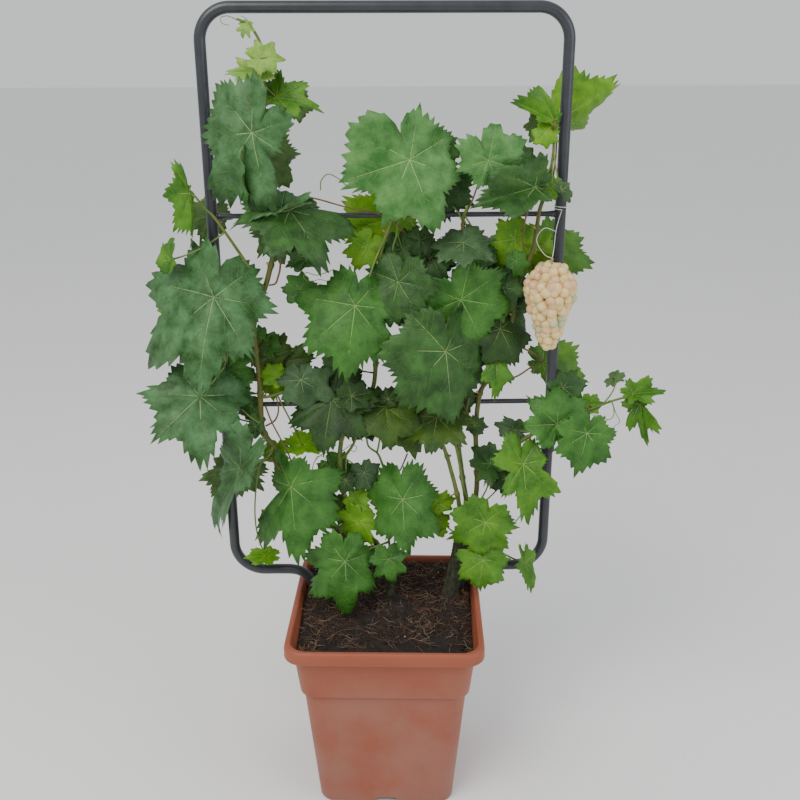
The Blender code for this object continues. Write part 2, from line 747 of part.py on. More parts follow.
def make_bunch():
    """Berries packed round a core, level by level, each level turned by the golden angle."""
    chance = random.Random(SEED)
    across, out = BUNCH_PLACE
    steps = len(BUNCH_RADII) - 1
    middle = [at(across, BUNCH_TOP - BUNCH_DROP * i / steps, out) for i in range(steps + 1)]
    stalk, stalk_up, stalk_foot = STALK
    core = [at(across, BUNCH_TOP + stalk_up, out), at(across, BUNCH_TOP + stalk_foot, out), *middle]
    core_radii = [stalk, stalk] + [radius * CORE_SHARE + 1 for radius in BUNCH_RADII]
    body = new_object("grape_bunch", tube(core, core_radii, 9), material("grape_skin", "E0CB9A", 0.35))
    outward(body.data)
    berries = []
    for level, radius in enumerate(BUNCH_RADII):
        count = max(3, round(2 * math.pi * radius / BERRY_APART))
        for i in range(count):
            angle = 2 * math.pi * i / count + math.radians(level * GOLDEN_ANGLE)
            place = radius + chance.uniform(-1.5, 1.0)
            shift = Vector((math.cos(angle) * place, math.sin(angle) * place, chance.uniform(-1, 1))) * MM
            spin = Matrix.Rotation(chance.uniform(0, 3), 3, "Z")
            spin @= Matrix.Rotation(chance.uniform(0, 3), 3, "X")
            work = bmesh.new()
            bmesh.ops.create_icosphere(work, subdivisions=1, radius=BERRY * MM)
            points = [spin @ vertex.co + middle[level] + shift for vertex in work.verts]
            berries.append((points, [[vertex.index for vertex in face.verts] for face in work.faces]))
            work.free()
    combine(body, berries)
    take(body)


def make_string():
    """White string: a ring round the right tube, and a strand down to the bunch's stalk."""
    across, out = BUNCH_PLACE
    above, share, rise, steps = STRING_RING
    up = BUNCH_TOP + above
    reach = TUBE + STRING + 0.7
    ring = []
    for i in range(steps + 1):
        a = 2 * math.pi * share * i / steps
        ring.append(at(RIGHT_TUBE - reach * math.sin(a), up + i * rise, reach * math.cos(a)))
    body = new_object("bunch_string", tube(ring, STRING, 6), material("white_string", "E8E6DF", 0.9))
    outward(body.data)
    end = at(across, BUNCH_TOP + STALK[1] + STRING, out)
    combine(body, [tube(smooth([ring[0], at(across + 6, up - 22, 30), end], 4), STRING, 6)])
    take(body)


taken = {}
clear_scene()
make_pot()
make_soil(make_trellis())
make_limbs()
make_bunch()
make_string()
for mass in MASSES:
    make_mass(*mass)
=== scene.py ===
"""Dressing of a potted grapevine: pot, potting mix, trellis, trunks, canes, leaves and one bunch of grapes.

Places are in millimetres from the middle of the pot's underside, as in the part's source: across to the
right, up, and out from the plane of the trellis towards the front. Angles are in degrees.
"""

import math
import random

import bmesh
import bpy
import numpy as np
from mathutils import Matrix, Vector
from mathutils.bvhtree import BVHTree


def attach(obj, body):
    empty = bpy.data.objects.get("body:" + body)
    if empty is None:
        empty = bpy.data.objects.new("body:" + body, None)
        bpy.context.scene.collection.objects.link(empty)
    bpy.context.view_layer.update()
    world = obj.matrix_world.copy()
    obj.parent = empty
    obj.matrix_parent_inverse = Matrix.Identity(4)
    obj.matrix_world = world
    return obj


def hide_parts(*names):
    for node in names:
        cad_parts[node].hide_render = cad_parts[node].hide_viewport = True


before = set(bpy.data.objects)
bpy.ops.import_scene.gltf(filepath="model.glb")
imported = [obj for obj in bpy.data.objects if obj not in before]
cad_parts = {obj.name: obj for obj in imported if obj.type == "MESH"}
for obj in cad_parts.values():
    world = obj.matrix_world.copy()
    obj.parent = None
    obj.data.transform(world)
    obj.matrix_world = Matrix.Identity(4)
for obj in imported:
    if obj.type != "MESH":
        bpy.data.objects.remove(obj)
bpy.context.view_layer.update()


# The pot: a square nursery pot of terracotta coloured polypropylene, injection moulded in one piece. It has
# a rolled lip with a bare band under it, tapering sides with round corners, and four feet parted by notches.

MM = 0.001
POT_TURN = -2.9
CORNER_STEPS = 12
POT_OUTSIDE = (
    (87, 17, 11), (88, 17, 1.6), (88.6, 18, 0.2), (89.6, 19, 0), (91.4, 20.4, 0.8), (92.6, 21, 3.4),
    (107.9, 23, 183.4), (108.1, 23, 184.6), (107.8, 23, 185.4), (111.2, 23, 187.6), (112.2, 23, 188.6),
    (112.6, 23, 190.4), (118.9, 24, 247.6), (119.3, 24, 249.2), (120.3, 24.5, 249.8), (128.2, 26.8, 249.7),
    (129.8, 27, 250.4), (130.2, 27, 251.8), (129.7, 27, 252.8), (130, 27, 254), (130, 27, 262),
    (129.4, 27, 265.4), (127.8, 26.6, 267.4), (125.6, 26, 268), (123.4, 25, 267.7), (121.8, 24, 266.4),
    (121.2, 23.4, 264), (119.4, 23, 256), (117, 22, 250), (109.8, 20, 190), (105.4, 20, 185),
    (89.4, 18, 11),
)
FOOT_NOTCH = (17, 13, 8)


def linear(colour):
    """The linear values of an sRGB hex colour."""
    levels = [int(colour[start : start + 2], 16) / 255 for start in (0, 2, 4)]
    return (*(v / 12.92 if v <= 0.04045 else ((v + 0.055) / 1.055) ** 2.4 for v in levels), 1)


def add_node(tree, kind, settings=(), inputs=()):
    """A node with its settings and its inputs, where an input is a value or another node's socket."""
    made = tree.nodes.new(kind)
    for key, value in dict(settings).items():
        setattr(made, key, value)
    for key, value in dict(inputs).items():
        if isinstance(value, bpy.types.NodeSocket):
            tree.links.new(value, made.inputs[key])
        else:
            made.inputs[key].default_value = value
    return made


def mottled(name, first, second, spot, roughness, relief=0.0, grain=1.0, **sockets):
    """A surface that passes between two colours in spots of a size in millimetres, with a fine relief whose
    grain and depth are in millimetres too."""
    made = bpy.data.materials.new(name)
    made.use_nodes = True
    tree = made.node_tree
    shader = tree.nodes["Principled BSDF"]
    place = add_node(tree, "ShaderNodeTexCoord").outputs["Object"]
    spots = add_node(
        tree, "ShaderNodeTexNoise", {}, {"Vector": place, "Scale": 1 / (spot * MM), "Detail": 5, "Roughness": 0.62}
    )
    share = add_node(
        tree, "ShaderNodeMapRange", {}, {"Value": spots.outputs["Fac"], "From Min": 0.34, "From Max": 0.66}
    )
    blend = add_node(tree, "ShaderNodeMix", {"data_type": "RGBA"}, {0: share.outputs["Result"]})
    blend.inputs[6].default_value, blend.inputs[7].default_value = linear(first), linear(second)
    tree.links.new(blend.outputs[2], shader.inputs["Base Color"])
    shader.inputs["Roughness"].default_value = roughness
    for key, value in sockets.items():
        shader.inputs[key.replace("_", " ")].default_value = value
    if relief:
        fine = add_node(
            tree, "ShaderNodeTexNoise", {}, {"Vector": place, "Scale": 1 / (grain * MM), "Detail": 3}
        )
        bump = add_node(
            tree, "ShaderNodeBump", {}, {"Height": fine.outputs["Fac"], "Distance": relief * MM, "Strength": 0.8}
        )
        tree.links.new(bump.outputs["Normal"], shader.inputs["Normal"])
    return made


def mesh_piece(name, points, faces, materials, smooth=True, indices=None):
    """A piece whose place is in its mesh."""
    mesh = bpy.data.meshes.new(name)
    mesh.from_pydata([tuple(map(float, point)) for point in points], [], faces)
    for each in materials:
        mesh.materials.append(each)
    if indices is not None:
        mesh.polygons.foreach_set("material_index", indices)
    mesh.polygons.foreach_set("use_smooth", [smooth] * len(mesh.polygons))
    made = bpy.data.objects.new(name, mesh)
    bpy.context.scene.collection.objects.link(made)
    return made


def square_ring(half, corner, up, steps=CORNER_STEPS):
    points = []
    for quarter in range(4):
        for step in range(steps + 1):
            a = math.radians(90 * quarter + 90 * step / steps)
            middle = math.radians(90 * quarter + 45)
            x = math.copysign(half - corner, math.cos(middle)) + corner * math.cos(a)
            y = math.copysign(half - corner, math.sin(middle)) + corner * math.sin(a)
            points.append(Vector((x, y, up)) * MM)
    return points


def stack(rings, capped=True):
    count = len(rings[0])
    points = [point for ring in rings for point in ring]
    faces = [list(range(count))[::-1]] if capped else []
    for level in range(len(rings) - 1):
        low, high = level * count, (level + 1) * count
        for i in range(count):
            j = (i + 1) % count
            faces.append([low + i, low + j, high + j, high + i])
    if capped:
        faces.append([(len(rings) - 1) * count + i for i in range(count)])
    return points, faces


def apply_modifiers(piece):
    graph = bpy.context.evaluated_depsgraph_get()
    mesh = bpy.data.meshes.new_from_object(piece.evaluated_get(graph), depsgraph=graph)
    piece.modifiers.clear()
    piece.data = mesh


pot_rings = [square_ring(*level) for level in POT_OUTSIDE]
pot_points, pot_faces = stack(pot_rings)
pot_matrix = Matrix.Rotation(math.radians(POT_TURN), 3, "Z")

# Polypropylene, moulded: a soft satin orange brown, dulled in clouds by a film of grey dust that spares the
# lip and thickens at the foot, with a few pale scratches.
pot_plastic = bpy.data.materials.new("moulded_terracotta_polypropylene")
pot_plastic.use_nodes = True
tree = pot_plastic.node_tree
shader = tree.nodes["Principled BSDF"]
place = add_node(tree, "ShaderNodeTexCoord").outputs["Object"]
height = add_node(tree, "ShaderNodeSeparateXYZ", {}, {"Vector": place}).outputs["Z"]
cloud = add_node(tree, "ShaderNodeTexNoise", {}, {"Vector": place, "Scale": 11, "Detail": 5, "Roughness": 0.6})
tones = add_node(tree, "ShaderNodeMix", {"data_type": "RGBA"}, {0: cloud.outputs["Fac"]})
tones.inputs[6].default_value, tones.inputs[7].default_value = linear("8A4630"), linear("9E563C")
speck = add_node(tree, "ShaderNodeTexNoise", {}, {"Vector": place, "Scale": 160, "Detail": 4, "Roughness": 0.7})
film = add_node(
    tree, "ShaderNodeMapRange", {},
    {"Value": height, "From Min": 0.16, "From Max": 0.25, "To Min": 0.5, "To Max": 0.06},
)
foot = add_node(
    tree, "ShaderNodeMapRange", {},
    {"Value": height, "From Min": 0.0, "From Max": 0.03, "To Min": 0.55, "To Max": 0.0},
)
patchy = add_node(
    tree, "ShaderNodeMapRange", {}, {"Value": cloud.outputs["Fac"], "From Min": 0.35, "From Max": 0.62}
)
dust = add_node(tree, "ShaderNodeMath", {"operation": "MULTIPLY"}, {0: patchy.outputs["Result"], 1: film.outputs["Result"]})
grime = add_node(tree, "ShaderNodeMath", {"operation": "MULTIPLY"}, {0: speck.outputs["Fac"], 1: foot.outputs["Result"]})
total = add_node(tree, "ShaderNodeMath", {"operation": "ADD"}, {0: dust.outputs["Value"], 1: grime.outputs["Value"]})
dusty = add_node(tree, "ShaderNodeMix", {"data_type": "RGBA"}, {0: total.outputs["Value"], 6: tones.outputs[2]})
dusty.inputs[7].default_value = linear("8E6A5E")
scratch_map = add_node(tree, "ShaderNodeMapping", {}, {"Vector": place, "Scale": (40, 40, 260), "Rotation": (0.3, 0.5, 0)})
scratch = add_node(tree, "ShaderNodeTexNoise", {}, {"Vector": scratch_map.outputs["Vector"], "Scale": 1, "Detail": 3})
marks = add_node(
    tree, "ShaderNodeMapRange", {}, {"Value": scratch.outputs["Fac"], "From Min": 0.72, "From Max": 0.8, "To Max": 0.45}
)
scratched = add_node(tree, "ShaderNodeMix", {"data_type": "RGBA"}, {0: marks.outputs["Result"], 6: dusty.outputs[2]})
scratched.inputs[7].default_value = linear("B48C7A")
tree.links.new(scratched.outputs[2], shader.inputs["Base Color"])
shader.inputs["Roughness"].default_value = 0.5
shader.inputs["Specular IOR Level"].default_value = 0.36
grain = add_node(tree, "ShaderNodeTexNoise", {}, {"Vector": place, "Scale": 900, "Detail": 2})
bump = add_node(tree, "ShaderNodeBump", {}, {"Height": grain.outputs["Fac"], "Distance": 0.0004, "Strength": 0.35})
tree.links.new(bump.outputs["Normal"], shader.inputs["Normal"])

pot = mesh_piece("pot_shell", [pot_matrix @ point for point in pot_points], pot_faces, [pot_plastic])
notch_half, notch_narrow, notch_height = FOOT_NOTCH
for side in range(4):
    near, far = 46, 100
    block = []
    for half, up in ((notch_half, -1), (notch_half, 0), (notch_narrow, notch_height), (notch_narrow, notch_height + 0.01)):
        block.append([Vector(p) * MM for p in ((near, -half, up), (far, -half, up), (far, half, up), (near, half, up))])
    turn = Matrix.Rotation(math.radians(POT_TURN + 90 * side), 3, "Z")
    cutter_points, cutter_faces = stack(block)
    cutter = mesh_piece("notch_cutter", [turn @ point for point in cutter_points], cutter_faces, [pot_plastic], False)
    cut = pot.modifiers.new("notch", "BOOLEAN")
    cut.operation, cut.solver, cut.object = "DIFFERENCE", "EXACT", cutter
    apply_modifiers(pot)
    bpy.data.objects.remove(cutter)
pot.data.set_sharp_from_angle(angle=math.radians(42))
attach(pot, "root")
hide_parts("pot")


# The potting mix: dark peat and compost, loosely filled and a little sunken, with a felt of dry tan fibres
# and a few pale grains on top. It fills the pot down to its floor.

MIX_TOP = 249
MIX_HALF = 115.6
ROWS = 46
mix_random = random.Random(5)
waves = [
    (mix_random.uniform(18, 95), mix_random.uniform(0, math.tau), mix_random.uniform(0, math.tau), mix_random.uniform(0.5, 1))
    for _ in range(26)
]


def mix_height(x, y):
    """Height of the loose surface, in millimetres."""
    total = 0.0
    for scale, heading, phase, weight in waves:
        total += weight * scale * 0.012 * math.sin((x * math.cos(heading) + y * math.sin(heading)) * math.tau / scale * 1.6 + phase)
    edge = max(0.0, max(abs(x), abs(y)) / MIX_HALF - 0.86) / 0.14
    heap = 13 * min(1.0, max(0.0, (y + 60) / 130))
    return MIX_TOP + heap + max(-5.0, min(6.0, total)) * (1 - 0.6 * edge) - 3 * edge * (1 - heap / 13)


mix_rings = []
for half, corner, up in ((88.6, 17.6, 12), (104.4, 19.6, 185), (108.6, 19.6, 189)):
    mix_rings.append([pot_matrix @ point for point in square_ring(half, corner, up)])
for step in range(ROWS):
    share = 1 - step / ROWS
    half = MIX_HALF * share
    ring = square_ring(half, min(21, half * 0.98), 0)
    mix_rings.append([
        pot_matrix @ Vector((p.x, p.y, mix_height(p.x / MM, p.y / MM) * MM)) for p in ring
    ])
mix_points, mix_faces = stack(mix_rings)
peat = mottled("damp_peat_and_compost", "0E0A08", "2A1D15", 14, 0.95, 2.2, 2.4)
mix = mesh_piece("potting_mix_bed", mix_points, mix_faces, [peat])
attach(mix, "root")
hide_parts("potting_mix")

# A patch with the bed's own surface, on which crumbs, fibres and grains are strewn by Geometry Nodes.
patch_points, patch_faces = stack(mix_rings[3:])
patch_faces = patch_faces[1:]


def strewn(name, seed_mesh, per_square_metre, smallest, largest, lean, seed, finish, sink=0.0):
    """Many copies of a small mesh, scattered over the bed in loose tufts at random turns and sizes."""
    carrier = mesh_piece(name, patch_points, patch_faces, [finish])
    grain_object = bpy.data.objects.new(name + "_grain", seed_mesh)
    bpy.context.scene.collection.objects.link(grain_object)
    group = bpy.data.node_groups.new(name + "_strewing", "GeometryNodeTree")
    sockets = {}
    group.interface.new_socket("Geometry", in_out="INPUT", socket_type="NodeSocketGeometry")
    group.interface.new_socket("Geometry", in_out="OUTPUT", socket_type="NodeSocketGeometry")
    for label, kind in (
        ("Grains per square metre", "NodeSocketFloat"), ("Smallest", "NodeSocketFloat"),
        ("Largest", "NodeSocketFloat"), ("Lean", "NodeSocketFloat"), ("Tuft pattern", "NodeSocketFloat"),
        ("Seed", "NodeSocketInt"),
    ):
        sockets[label] = group.interface.new_socket(label, in_out="INPUT", socket_type=kind).identifier
    given = add_node(group, "NodeGroupInput").outputs
    where = add_node(group, "GeometryNodeInputPosition").outputs["Position"]
    tufts = add_node(
        group, "ShaderNodeTexNoise", {"noise_dimensions": "4D"},
        {"Vector": where, "W": given["Tuft pattern"], "Scale": 26.0, "Detail": 2.0},
    )
    thick = add_node(
        group, "ShaderNodeMapRange", {},
        {"Value": tufts.outputs["Fac"], "From Min": 0.42, "From Max": 0.6, "To Min": 0.1, "To Max": 1.5},
    )
    back = add_node(group, "ShaderNodeSeparateXYZ", {}, {"Vector": where}).outputs["Y"]
    fuller = add_node(
        group, "ShaderNodeMapRange", {},
        {"Value": back, "From Min": -0.09, "From Max": 0.03, "To Min": 0.6, "To Max": 1.2},
    )
    share = add_node(group, "ShaderNodeMath", {"operation": "MULTIPLY"}, {0: thick.outputs[0], 1: fuller.outputs[0]})
    crowd = add_node(
        group, "ShaderNodeMath", {"operation": "MULTIPLY"}, {0: share.outputs[0], 1: given["Grains per square metre"]}
    )
    spots = add_node(
        group, "GeometryNodeDistributePointsOnFaces", {},
        {"Mesh": given["Geometry"], "Density": crowd.outputs[0], "Seed": given["Seed"]},
    )
    lean_low = add_node(group, "ShaderNodeMath", {"operation": "MULTIPLY"}, {0: given["Lean"], 1: -1.0})
    low_turn = add_node(group, "ShaderNodeCombineXYZ", {}, {"X": lean_low.outputs[0], "Y": lean_low.outputs[0], "Z": 0.0})
    high_turn = add_node(group, "ShaderNodeCombineXYZ", {}, {"X": given["Lean"], "Y": given["Lean"], "Z": math.tau})
    turns = add_node(
        group, "FunctionNodeRandomValue", {"data_type": "FLOAT_VECTOR"},
        {0: low_turn.outputs[0], 1: high_turn.outputs[0], "Seed": given["Seed"]},
    )
    sizes = add_node(
        group, "FunctionNodeRandomValue", {"data_type": "FLOAT"},
        {2: given["Smallest"], 3: given["Largest"], "Seed": given["Seed"]},
    )
    source = add_node(group, "GeometryNodeObjectInfo", {}, {"Object": grain_object})
    copies = add_node(
        group, "GeometryNodeInstanceOnPoints", {},
        {"Points": spots.outputs["Points"], "Instance": source.outputs["Geometry"],
         "Rotation": turns.outputs["Value"], "Scale": sizes.outputs[1]},
    )
    real = add_node(group, "GeometryNodeRealizeInstances", {}, {"Geometry": copies.outputs["Instances"]})
    shift = add_node(group, "GeometryNodeTransform", {}, {"Geometry": real.outputs[0], "Translation": (0, 0, sink * MM)})
    dressed = add_node(group, "GeometryNodeSetMaterial", {}, {"Geometry": shift.outputs[0], "Material": finish})
    out = group.nodes.new("NodeGroupOutput")
    group.links.new(dressed.outputs[0], out.inputs[0])
    spread = carrier.modifiers.new("strewing", "NODES")
    spread.node_group = group
    for label, value in (
        ("Grains per square metre", float(per_square_metre)), ("Smallest", smallest), ("Largest", largest),
        ("Lean", lean), ("Tuft pattern", 3.7), ("Seed", seed),
    ):
        spread[sockets[label]] = value
    apply_modifiers(carrier)
    bpy.data.objects.remove(grain_object)
    return carrier


def small_ball(name, radius, squash=1.0, rough=0.0, seed=1, detail=1):
    ball = bmesh.new()
    bmesh.ops.create_icosphere(ball, subdivisions=detail, radius=radius * MM)
    chance = random.Random(seed)
    for vertex in ball.verts:
        vertex.co *= 1 + chance.uniform(-rough, rough)
        vertex.co.z *= squash
    mesh = bpy.data.meshes.new(name)
    ball.to_mesh(mesh)
    ball.free()
    return mesh


def small_fibre(name, length, thick, bow, seed):
    """A thin three-sided thread, bowed and a little twisted."""
    chance = random.Random(seed)
    points, faces = [], []
    steps = 6
    for i in range(steps + 1):
        t = i / steps - 0.5
        middle = Vector((t * length, bow * (1 - 4 * t * t) + chance.uniform(-0.4, 0.4), chance.uniform(-0.8, 0.8)))
        for side in range(3):
            a = math.tau * side / 3
            points.append((middle + Vector((0, math.cos(a), math.sin(a))) * thick * (1 - abs(t))) * MM)
    for i in range(steps):
        for side in range(3):
            after = (side + 1) % 3
            faces.append([3 * i + side, 3 * i + 3 + side, 3 * i + 3 + after, 3 * i + after])
    faces += [[0, 1, 2], [3 * steps + 2, 3 * steps + 1, 3 * steps]]
    mesh = bpy.data.meshes.new(name)
    mesh.from_pydata(points, [], faces)
    return mesh


crumb = mottled("compost_crumb", "140E0A", "2E2018", 3, 0.95, 0.5, 0.8)
straw = mottled("dry_root_fibre", "3E2C1E", "6A523A", 9, 0.85)
red_straw = mottled("red_brown_root_fibre", "4A2C1C", "6E4630", 9, 0.85)
pale_straw = mottled("bleached_root_fibre", "6E6048", "948468", 12, 0.85)
perlite = mottled("pale_feed_grain", "C8BC8A", "E6DEBC", 2, 0.6)
for name, seed_mesh, count, low_size, high_size, lean, seed, finish, sink in (
    ("mix_crumbs", small_ball("crumb", 2.2, 0.8, 0.3, 2), 36000, 0.4, 1.7, 3.1, 3, crumb, -0.6),
    ("mix_fibres_short", small_fibre("short", 13, 0.36, 2.2, 4), 30000, 0.5, 1.3, 0.45, 8, straw, 1.0),
    ("mix_fibres_long", small_fibre("long", 26, 0.4, 5, 6), 12000, 0.6, 1.2, 0.4, 12, red_straw, 2.0),
    ("mix_fibres_pale", small_fibre("pale", 19, 0.34, 2.4, 9), 9000, 0.5, 1.2, 0.5, 21, pale_straw, 2.4),
    ("mix_grains", small_ball("grain", 1.1, 0.9, 0.08, 7), 420, 0.7, 1.2, 3.1, 15, perlite, 1.2),
):
    layer = strewn(name, seed_mesh, count, low_size, high_size, lean, seed, finish, sink)
    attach(layer, "root")


# The trellis: one hoop of thin steel tube in a dark plastic coat, bent at its shoulders and ankles, with its
# legs pushed down into the mix. Two cross bars are pinched flat and welded to it; sleeves join its halves.

TRELLIS_BACK = 42.5
LEFT_TUBE, RIGHT_TUBE = -212, 222
TUBE, BAR = 7, 3.25
SHOULDER, ANKLE = 997, 338
TOP_BEND, FOOT_BEND = 37, 42
UPPER_BAR, LOWER_BAR = 794, 545
LEFT_LEG = ((-140, 296), (-124, 293), (-111, 283), (-103, 266), (-98, 250), (-89, 215), (-84, 192))
RIGHT_LEG = ((140, 296), (122, 293), (111, 282), (105, 265), (102, 249), (96, 215), (91, 192))


def at(across, up, out=0.0):
    return Vector((across * MM, (TRELLIS_BACK - out) * MM, up * MM))


def smooth_path(points, steps=4):
    """A Catmull-Rom curve through the points, as in the part's source."""
    ends = [points[0] * 2 - points[1], *points, points[-1] * 2 - points[-2]]
    curve = []
    for a, b, c, d in zip(ends, ends[1:], ends[2:], ends[3:]):
        for step in range(steps):
            t = step / steps
            cubic = (3 * b - a - 3 * c + d) * t**3
            curve.append(0.5 * (2 * b + (c - a) * t + (2 * a - 5 * b + 4 * c - d) * t**2 + cubic))
    return curve + [points[-1]]


def bend(across, up, radius, start, end, steps=18):
    turn = [math.radians(start + (end - start) * i / steps) for i in range(steps + 1)]
    return [at(across + radius * math.cos(a), up + radius * math.sin(a)) for a in turn]


def tube(points, radii, sides, rings_only=False):
    """A closed round tube along the points, its radius running through the radii, in millimetres."""
    if not isinstance(radii, (list, tuple)):
        radii = [radii] * len(points)
    if len(radii) == 2 and len(points) > 2:
        last = len(points) - 1
        radii = [radii[0] + (radii[1] - radii[0]) * i / last for i in range(len(points))]
    rings = []
    normal = None
    for i, point in enumerate(points):
        along = (points[min(i + 1, len(points) - 1)] - points[max(i - 1, 0)]).normalized()
        if normal is None:
            normal = along.orthogonal().normalized()
        normal = (normal - along * normal.dot(along)).normalized()
        binormal = along.cross(normal)
        turn = [math.tau * side / sides for side in range(sides)]
        rings.append([point + (normal * math.cos(a) + binormal * math.sin(a)) * radii[i] * MM for a in turn])
    return rings if rings_only else stack(rings)


def joined(name, shapes, finish, smooth=True):
    """Several closed shapes as one piece of one material."""
    points, faces = [], []
    for shape_points, shape_faces in shapes:
        offset = len(points)
        points += shape_points
        faces += [[offset + i for i in face] for face in shape_faces]
    return mesh_piece(name, points, faces, [finish], smooth)


hoop = [at(*place) for place in LEFT_LEG[::-1]]
hoop = smooth_path(hoop, 5)[:-1] + [at(-155, 296)]
hoop += bend(LEFT_TUBE + FOOT_BEND, ANKLE, FOOT_BEND, 270, 180)
hoop += [at(LEFT_TUBE, up) for up in (400, 500, 600, 700, 800, 900)]
hoop += bend(LEFT_TUBE + TOP_BEND, SHOULDER, TOP_BEND, 180, 90)
hoop += [at(across, SHOULDER + TOP_BEND) for across in (-100, 0, 100)]
hoop += bend(RIGHT_TUBE - TOP_BEND, SHOULDER, TOP_BEND, 90, 0)
hoop += [at(RIGHT_TUBE, up) for up in (900, 800, 700, 600, 500, 400)]
hoop += bend(RIGHT_TUBE - FOOT_BEND, ANKLE, FOOT_BEND, 0, -90)
hoop += [at(155, 296)] + smooth_path([at(*place) for place in RIGHT_LEG], 5)

# Plastic coated steel: a near black blue grey skin with a soft long highlight and a faint orange peel.
coat = mottled("dipped_plastic_coat_on_steel", "2B2D31", "34373C", 22, 0.34, 0.12, 1.6, Specular_IOR_Level=0.5)
hoop_piece = joined("trellis_hoop", [tube(hoop, TUBE, 28)], coat)
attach(hoop_piece, "root")
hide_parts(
    "trellis_top", "trellis_upright_left", "trellis_upright_right", "trellis_foot_left", "trellis_foot_right"
)

for name, up in (("upper", UPPER_BAR), ("lower", LOWER_BAR)):
    ends = (LEFT_TUBE + TUBE - 1.0, LEFT_TUBE + TUBE + 10, RIGHT_TUBE - TUBE - 10, RIGHT_TUBE - TUBE + 1.0)
    span = [at(ends[0], up), at(ends[0] + 5, up), at(ends[1], up), at(0, up), at(ends[2], up), at(ends[3] - 5, up), at(ends[3], up)]
    bar_shapes = [tube(span, [BAR + 1.1, BAR + 0.7, BAR, BAR, BAR, BAR + 0.7, BAR + 1.1], 18)]
    for across in (ends[0] + 0.6, ends[3] - 0.6):
        bar_shapes.append(tube([at(across - 1.6, up), at(across - 0.6, up), at(across + 0.6, up), at(across + 1.6, up)],
                               [3.4, 4.9, 4.9, 3.4], 18))
    bar = joined(f"trellis_cross_bar_{name}", bar_shapes, coat)
    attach(bar, "root")
    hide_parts(f"trellis_bar_{name}")

sleeves = []
for across in (LEFT_TUBE, RIGHT_TUBE):
    levels = ((471, 7.1), (471.6, 8.5), (473, 9), (483, 9), (484.4, 8.5), (485, 7.1))
    sleeves.append(tube([at(across, up) for up, _ in levels], [radius for _, radius in levels], 26))
black_plastic = mottled("moulded_black_polythene", "17181A", "222427", 10, 0.42, 0.1, 1.2)
sleeve = joined("trellis_sleeves", sleeves, black_plastic)
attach(sleeve, "root")


# The trunks and canes: an old mossy trunk at the right, a thin one near the middle, and green canes tied up
# the trellis. Bark flakes in strips on the old wood; the canes are ridged and swell at each node.

TRUNK_FOOT = 246
LIMBS = (
    ("trunk_right", ((88, TRUNK_FOOT, 15), (94, 280, 15), (101, 314, 13), (109, 356, 11), (117, 398, 9)), (10.4, 7.8), "old"),
    ("trunk_left", ((5, TRUNK_FOOT, 14), (5, 277, 12), (3, 305, 9), (2, 324, 6)), (5.2, 4.2), "old"),
    ("cane_left", (
        (4, 290, 11), (-22, 326, 14), (-70, 366, 12), (-118, 412, 10), (-131, 456, 10), (-149, 488, 11),
        (-163, 517, 12), (-163, 583, 12), (-167, 645, 12), (-163, 670, 11), (-147, 714, 11), (-136, 755, 12),
        (-132, 793, 12), (-132, 831, 12), (-139, 868, 12),
    ), (4.4, 3.0), "olive"),
    ("cane_centre", (
        (2, 318, 6), (-12, 336, 6), (-24, 352, 6), (-54, 408, 8), (-60, 440, 9), (-61, 479, 10),
        (-50, 527, 9), (-18, 563, 9), (-11, 609, 9), (-7, 687, 9), (-4, 743, 9), (6, 778, 10), (14, 796, 11),
    ), (3.4, 2.6), "green"),
    ("cane_centre_right", (
        (113, 388, 9), (110, 412, 8), (105, 440, 8), (97, 507, 9), (98, 563, 9), (101, 647, 9),
        (100, 738, 9), (99, 784, 9),
    ), (3.6, 2.4), "green"),
    ("cane_right", (
        (121, 388, 9), (125, 415, 8), (125, 450, 7), (122, 506, 8), (127, 563, 10), (146, 590, 11),
        (161, 630, 11), (169, 700, 12), (177, 724, 12), (188, 753, 12), (192, 787, 12), (194, 802, 12),
        (202, 828, 11), (205, 845, 10),
    ), (3.6, 2.4), "olive"),
    ("cane_far_right", (
        (124, 432, 8), (140, 452, 12), (162, 476, 16), (194, 502, 18), (222, 517, 19), (240, 525, 19),
    ), (2.8, 2.3), "green"),
    ("cane_front", ((115, 378, 10), (103, 392, 18), (97, 420, 20), (84, 470, 20), (72, 506, 20)), (3.2, 2.4), "green"),
)
NODE_STEP = 58

old_bark = mottled("mossy_flaking_vine_bark", "23281A", "464A32", 7, 0.92, 1.8, 1.6)
olive_bark = mottled("ripening_cane_rind", "48561E", "625C24", 11, 0.6, 0.3, 1.0)
green_rind = mottled("green_cane_rind", "4A6620", "6C742C", 13, 0.55, 0.25, 1.0)
BARKS = {"old": old_bark, "olive": olive_bark, "green": green_rind}


def spaced(path, step):
    """The path's points at an even step in millimetres."""
    places = [path[0]]
    left = step * MM
    for a, b in zip(path, path[1:]):
        length = (b - a).length
        done = 0.0
        while length - done >= left:
            done += left
            places.append(a + (b - a) * (done / length))
            left = step * MM
        left -= length - done
    return [*places, path[-1]]


